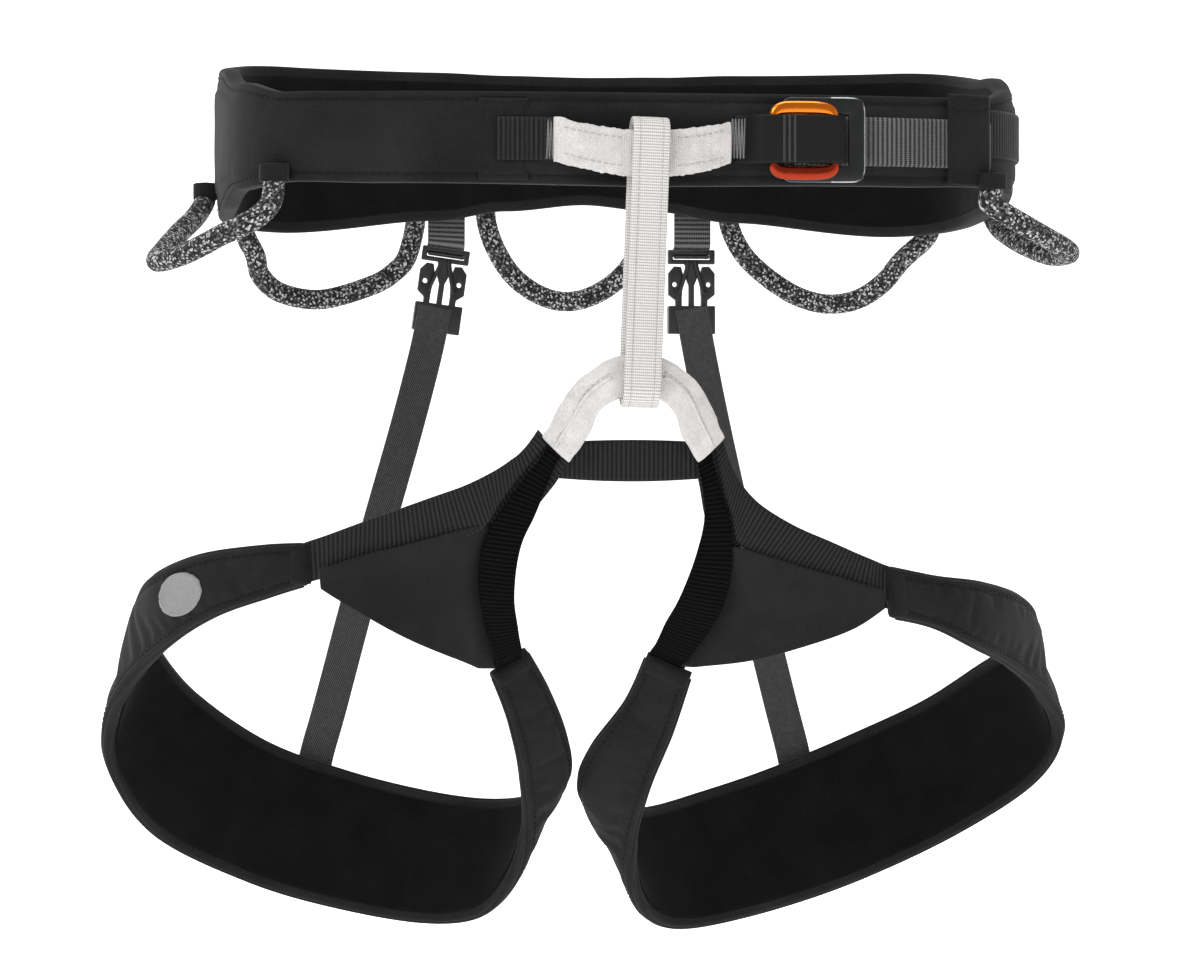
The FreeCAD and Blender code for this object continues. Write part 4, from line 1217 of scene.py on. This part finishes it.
# ---- risers --------------------------------------------------------------------------------------
def make_riser_webbing(word):
    """Grey webbing that comes down behind the buckle's bar, goes round it and back up behind itself."""
    half = 8.2
    x = RISER_X[word]
    tilt = math.radians(RISER_LEAN[word])
    route = [(98.4, 8), (98.4, -6), (98.3, -18), (98.3, -30), (98.6, -33.2), (100.2, -34.2), (102.6, -34.6),
             (103.8, -36.2), (103.5, -37.6), (101.8, -38.4), (100, -38.9), (98.6, -38.6)]
    rows = []
    for y, z in route:
        lean_here = math.tan(tilt) * min(max((-28 - z) / 6, 0), 1)
        rows.append((x - half, y, z + half * lean_here, x + half, y, z - half * lean_here))
    web = strap("riser_webbing_" + word, rows, 1.2, "webbing_grey", ROOT, ribs=0.25, pitch=1.9, parts=6)
    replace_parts(web, "riser_upper_webbing_" + word)
    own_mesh(web)


def buckle_brace(word, arm):
    """One leg of the A on the front of a male buckle, from the bar down to above the socket's mouth."""
    tilt = math.radians(RISER_LEAN[word])
    path = []
    for dx, dz in ((1.6, -2.0), (2.2, -5.0), (4.0, -11.0), (5.8, -16.8)):
        dx *= arm
        path.append((RISER_X[word] + dx * math.cos(tilt) + dz * math.sin(tilt), 99.1,
                     RISER_PIVOT_Z + dz * math.cos(tilt) - dx * math.sin(tilt)))
    return smooth(path, 4)


def make_risers():
    for word, side in SIDES:
        buckle = word + "_buckle"
        hard = (("male_buckle_", "riser_buckle_male_", buckle, 0.5),
                ("socket_", "riser_buckle_female_", ROOT, 0.8),
                ("prong_outer_", "riser_prong_outer_", word + "_prong_outer", 0.5),
                ("prong_inner_", "riser_prong_inner_", word + "_prong_inner", 0.5))
        for name, node, body, bevel in hard:
            from_node(name + word, node + word, "plastic", body, bevel)
        for arm in (-1, 1):
            tube("male_buckle_brace_%s_%d" % (word, arm + 1), buckle_brace(word, arm), 1.15, "plastic",
                 buckle, 12, False, 0.6, 0.75)
        make_riser_webbing(word)
        rows = []
        route = ELASTIC_ROUTES[word]
        for k, p in enumerate(route):
            before, after = neighbours(route, k)
            along = Vector(after) - Vector(before)
            across = along.cross(BACKWARDS).normalized() * ELASTIC_HALF_WIDTH
            rows.append(tuple(Vector(p) + across) + tuple(Vector(p) - across))
        elastic = strap("riser_elastic_strap_" + word, rows, 1.4, "elastic", pitch=1.3, ribs=0.1, out=0.7)
        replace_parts(elastic, "riser_elastic_" + word)
        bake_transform(elastic)


# ---- leg loops -----------------------------------------------------------------------------------
def outwards(stations, side):
    """Rows of a leg table with X measured from the middle of the harness turned into real X."""
    return [(side * u[0], u[1], u[2], side * l[0], l[1], l[2]) for u, l in stations]


def longer(rows, before, after):
    """Rows of edge points carried straight on at both ends."""
    result = list(rows)
    for near, far, reach, at in ((0, 1, before, 0), (-1, -2, after, len(rows) + 1)):
        near, far = rows[near], rows[far]
        along = Vector(near[:3]) + Vector(near[3:]) - Vector(far[:3]) - Vector(far[3:])
        along = along.normalized() * reach
        if reach:
            result.insert(at, tuple(Vector(near[:3]) + along) + tuple(Vector(near[3:]) + along))
    return result


def leg_frames(stations, side, step, before=0.0, after=0.0):
    """Frames along a leg band with their normals pointing out of the leg loop."""
    rows, step = resample(longer(smooth(outwards(stations, side), 14), before, after), step)
    frames = [(upper, lower, normal * side) for upper, lower, normal in ribbon(rows)]
    return frames, step


def make_pad(word, side):
    body = word + "_leg"
    frames, step = leg_frames(PADS[word], side, 1.6, 1.0, 3.0 if side > 0 else 1.0)
    total = (len(frames) - 1) * step

    def profile(i, width):
        edge = min(i * step, total - i * step)
        hem = 0.9 * math.exp(-((edge - 3.2) / 2.2) ** 2)
        thick = (PAD_THICKNESS + hem) * rounded_end(edge, 3.0, 0.05)
        section = pad_profile(width, thick, 6.0, 27, 0.05,
                              [(PAD_SEAM, 0.7, 0.8), (width - PAD_SEAM, 0.7, 0.8)])
        shift = (PAD_THICKNESS - thick) / 2
        return [(w, b - shift) for w, b in section]

    def lining_profile(i, width):
        edge = min(i * step, total - i * step)
        thin = rounded_end(max(edge - 9, 0.05), 2.0, 0.02)
        section = pad_profile(width - 2 * PAD_LINING_INSET, 1.4 * thin, 6.0, 15, 0.3 * thin)
        return [(w + PAD_LINING_INSET, b - PAD_THICKNESS + 0.95) for w, b in section]

    def wrinkle(p, normal):
        fine = Vector((p.x * 1.5, p.y * 1.5, p.z * 0.5))
        return p + normal * (0.5 * hills(p, 30, 2.0 + side) + 0.22 * hills(fine, 12, side))

    held = set(range(0, 7)) | set(range(20, 52))
    pad = loft("leg_pad_" + word, rings_of(frames, profile, wrinkle), "belt_fabric", None, False, step, held)
    let_go(pad)
    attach(pad, body)
    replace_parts(pad, "leg_pad_shell_" + word, "leg_pad_foam_" + word)
    make_pad_hem("front_" + word, frames[3], body)
    make_pad_hem("back_" + word, frames[-4], body)
    lining_rings = rings_of(frames, lining_profile, wrinkle)
    lining = loft("leg_lining_" + word, lining_rings, "lining", body, False, step)
    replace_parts(lining, "leg_pad_lining_" + word)
    for name, edge in (("upper", 0), ("lower", 1)):
        rim = beside_edge(frames[2:-2], edge, 0.5, PAD_THICKNESS / 2, wrinkle)
        thread = beside_edge(frames[2:-2], edge, PAD_SEAM, THREAD_DEPTH, wrinkle)
        tube("leg_pad_piping_%s_%s" % (name, word), rim, 1.35, "binding", body, 10, False, 1.8)
        stitches("leg_pad_stitching_%s_%s" % (name, word), thread, "thread_black", body)


def make_pad_hem(place, station, body):
    """The turned hem across one end of a pad, thinner towards both edges."""
    upper, lower, normal = station
    half = PAD_THICKNESS / 2
    reach = (lower - upper).length / 2

    def thinner(s, angle):
        return -3.4 * (max(abs(s - reach) / reach - 0.7, 0) / 0.3) ** 2

    points = [upper + (lower - upper) * (0.02 + 0.12 * k) - normal * half for k in range(9)]
    tube("leg_pad_hem_" + place, points, half + 0.8, "belt_fabric", body, 16, False, 1.0, 1.0, thinner)


def make_leg_straps(word, side):
    """The two front straps, and the doubled webbing behind them where they are sewn together."""
    pieces = (("outer", OUTER_STRAPS, "webbing_black", 0.3, (5.0, 6.0), (0.06, 0.94)),
              ("inner", INNER_STRAPS, "webbing_inner", 0.9, (6.0, 12.0), (0.13, 0.84)),
              ("yoke", YOKES, "webbing_black", -0.8, (0.0, 0.0), ()))
    for kind, table, material, out, reach, seams in pieces:
        sewn = kind != "yoke"
        name = "leg_front_%s_%s" % ("strap_" + kind if sewn else kind, word)
        rows = longer(outwards(table[word], side), *reach)
        if side < 0:
            rows = [row[3:] + row[:3] for row in rows]
            seams = [1 - at for at in seams]
        piece = strap(name, rows, 2.2, material, ribs=0.34, pitch=1.9, out=out,
                      seams=[(at, 0.45) for at in seams], tuck=11.0 if sewn else 0.0)
        if sewn:
            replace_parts(piece, "leg_%s_strap_%s" % (kind, word))
        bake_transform(piece)


def make_panel(word, side):
    """The stretch fabric between the two front straps, bowed a little by its tension."""
    body = word + "_leg"
    frames, step = leg_frames(PANELS[word], side, 1.6, 0.0, 10.0 if side < 0 else 6.0)

    def profile(i, width):
        bow = 1.6 * min(width / 30.0, 1)
        return [(w - PANEL_MARGIN * (1 - w / width),
                 b - 2.9 + bow * math.sin(math.pi * min(max(w / width, 0), 1)))
                for w, b in strap_profile(width, 1.0, points=21, selvedge=0.0)]

    panel = loft("stretch_panel_" + word, rings_of(frames, profile), "panel_fabric", body, False, step)
    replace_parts(panel, "leg_stretch_panel_" + word)


def make_badge():
    """A plain oval patch with a raised rim on the right leg pad."""
    frames, step = leg_frames(PADS["right"], -1, 0.8)
    low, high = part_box("leg_badge")
    centre = Vector(((low.x + high.x) / 2 / MM, (low.y + high.y) / 2 / MM))
    middle = min(range(len(frames)), key=lambda i: (((frames[i][0] + frames[i][1]) / 2).xy - centre).length)
    half_long = 13.0
    half_high = 8.5
    rings = []
    for size, lift in ((1.0, 0.0), (1.0, 0.5), (0.97, 0.95), (0.9, 1.05), (0.84, 0.85), (0.8, 0.62),
                       (0.5, 0.62), (0.25, 0.62), (0.02, 0.62)):
        ring = []
        for j in range(48):
            a = 2 * math.pi * j / 48
            i = middle + int(round(half_long * size * math.cos(a) / step))
            upper, lower, normal = frames[i]
            down = (lower - upper).normalized()
            w = (lower - upper).length * 0.47 + half_high * size * math.sin(a)
            ring.append(upper + down * w + normal * (0.55 + lift))
        rings.append(ring)
    badge = loft("leg_badge_oval", rings, "badge", "right_leg")
    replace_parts(badge, "leg_badge")


# ---- studio --------------------------------------------------------------------------------------
def make_studio():
    """A white floor that curves up into a wall, five lamps and an even sky."""
    low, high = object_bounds()
    floor_z = low.z - 0.02
    half_width, front, curve_from, curve_radius, top = 9.0, -9.0, 3.6, 1.2, 5.0
    profile = [(front, floor_z)]
    for k in range(13):
        a = math.pi / 2 * k / 12
        profile.append((curve_from + curve_radius * math.sin(a), floor_z + curve_radius * (1 - math.cos(a))))
    profile.append((curve_from + curve_radius, top))
    verts = [Vector((x, y, z)) / MM for y, z in profile for x in (-half_width, half_width)]
    faces = [(2 * k, 2 * k + 1, 2 * k + 3, 2 * k + 2) for k in range(len(profile) - 1)]
    shader = Shader("studio_paper", (0.9, 0.9, 0.9), 0.9, Emission_Color=(1.0, 1.0, 1.0),
                    Emission_Strength=0.75)
    shader.colour(shader.grey(shader.noise(3.0, 2.0), 0.3, 0.7, 0.88, 0.92))
    new_object("studio_floor", verts, faces, shader.material)
    world = bpy.data.worlds.new("studio")
    bpy.context.scene.world = world
    world.use_nodes = True
    background = world.node_tree.nodes["Background"]
    background.inputs["Color"].default_value = (1.0, 1.0, 1.0, 1.0)
    background.inputs["Strength"].default_value = 0.42
    lamps = (("key", (-1.1, -1.5, 1.2), 0.9, 19.0), ("fill", (1.5, -1.3, 0.2), 1.3, 1.5),
             ("top", (0.0, -0.3, 1.5), 1.0, 13.0), ("left_rim", (-1.4, 0.9, 0.3), 0.8, 8.0),
             ("right_rim", (1.4, 0.9, 0.3), 0.8, 6.0))
    for name, place, size, power in lamps:
        data = bpy.data.lights.new(name, "AREA")
        data.size = size
        data.energy = power
        lamp = link(name, data)
        lamp.location = place
        aim = LAMP_TARGET - Vector(place)
        lamp.rotation_euler = aim.to_track_quat("-Z", "Y").to_euler()


bpy.context.scene.view_settings.view_transform = "Standard"
make_camera()
make_belt()
make_belt_straps()
make_upper_sleeve()
make_lower_sleeve()
make_belay_loop()
make_waist_buckle()
make_gear_loops()
make_risers()
for word, side in SIDES:
    make_pad(word, side)
    make_leg_straps(word, side)
    make_panel(word, side)
make_badge()
make_studio()
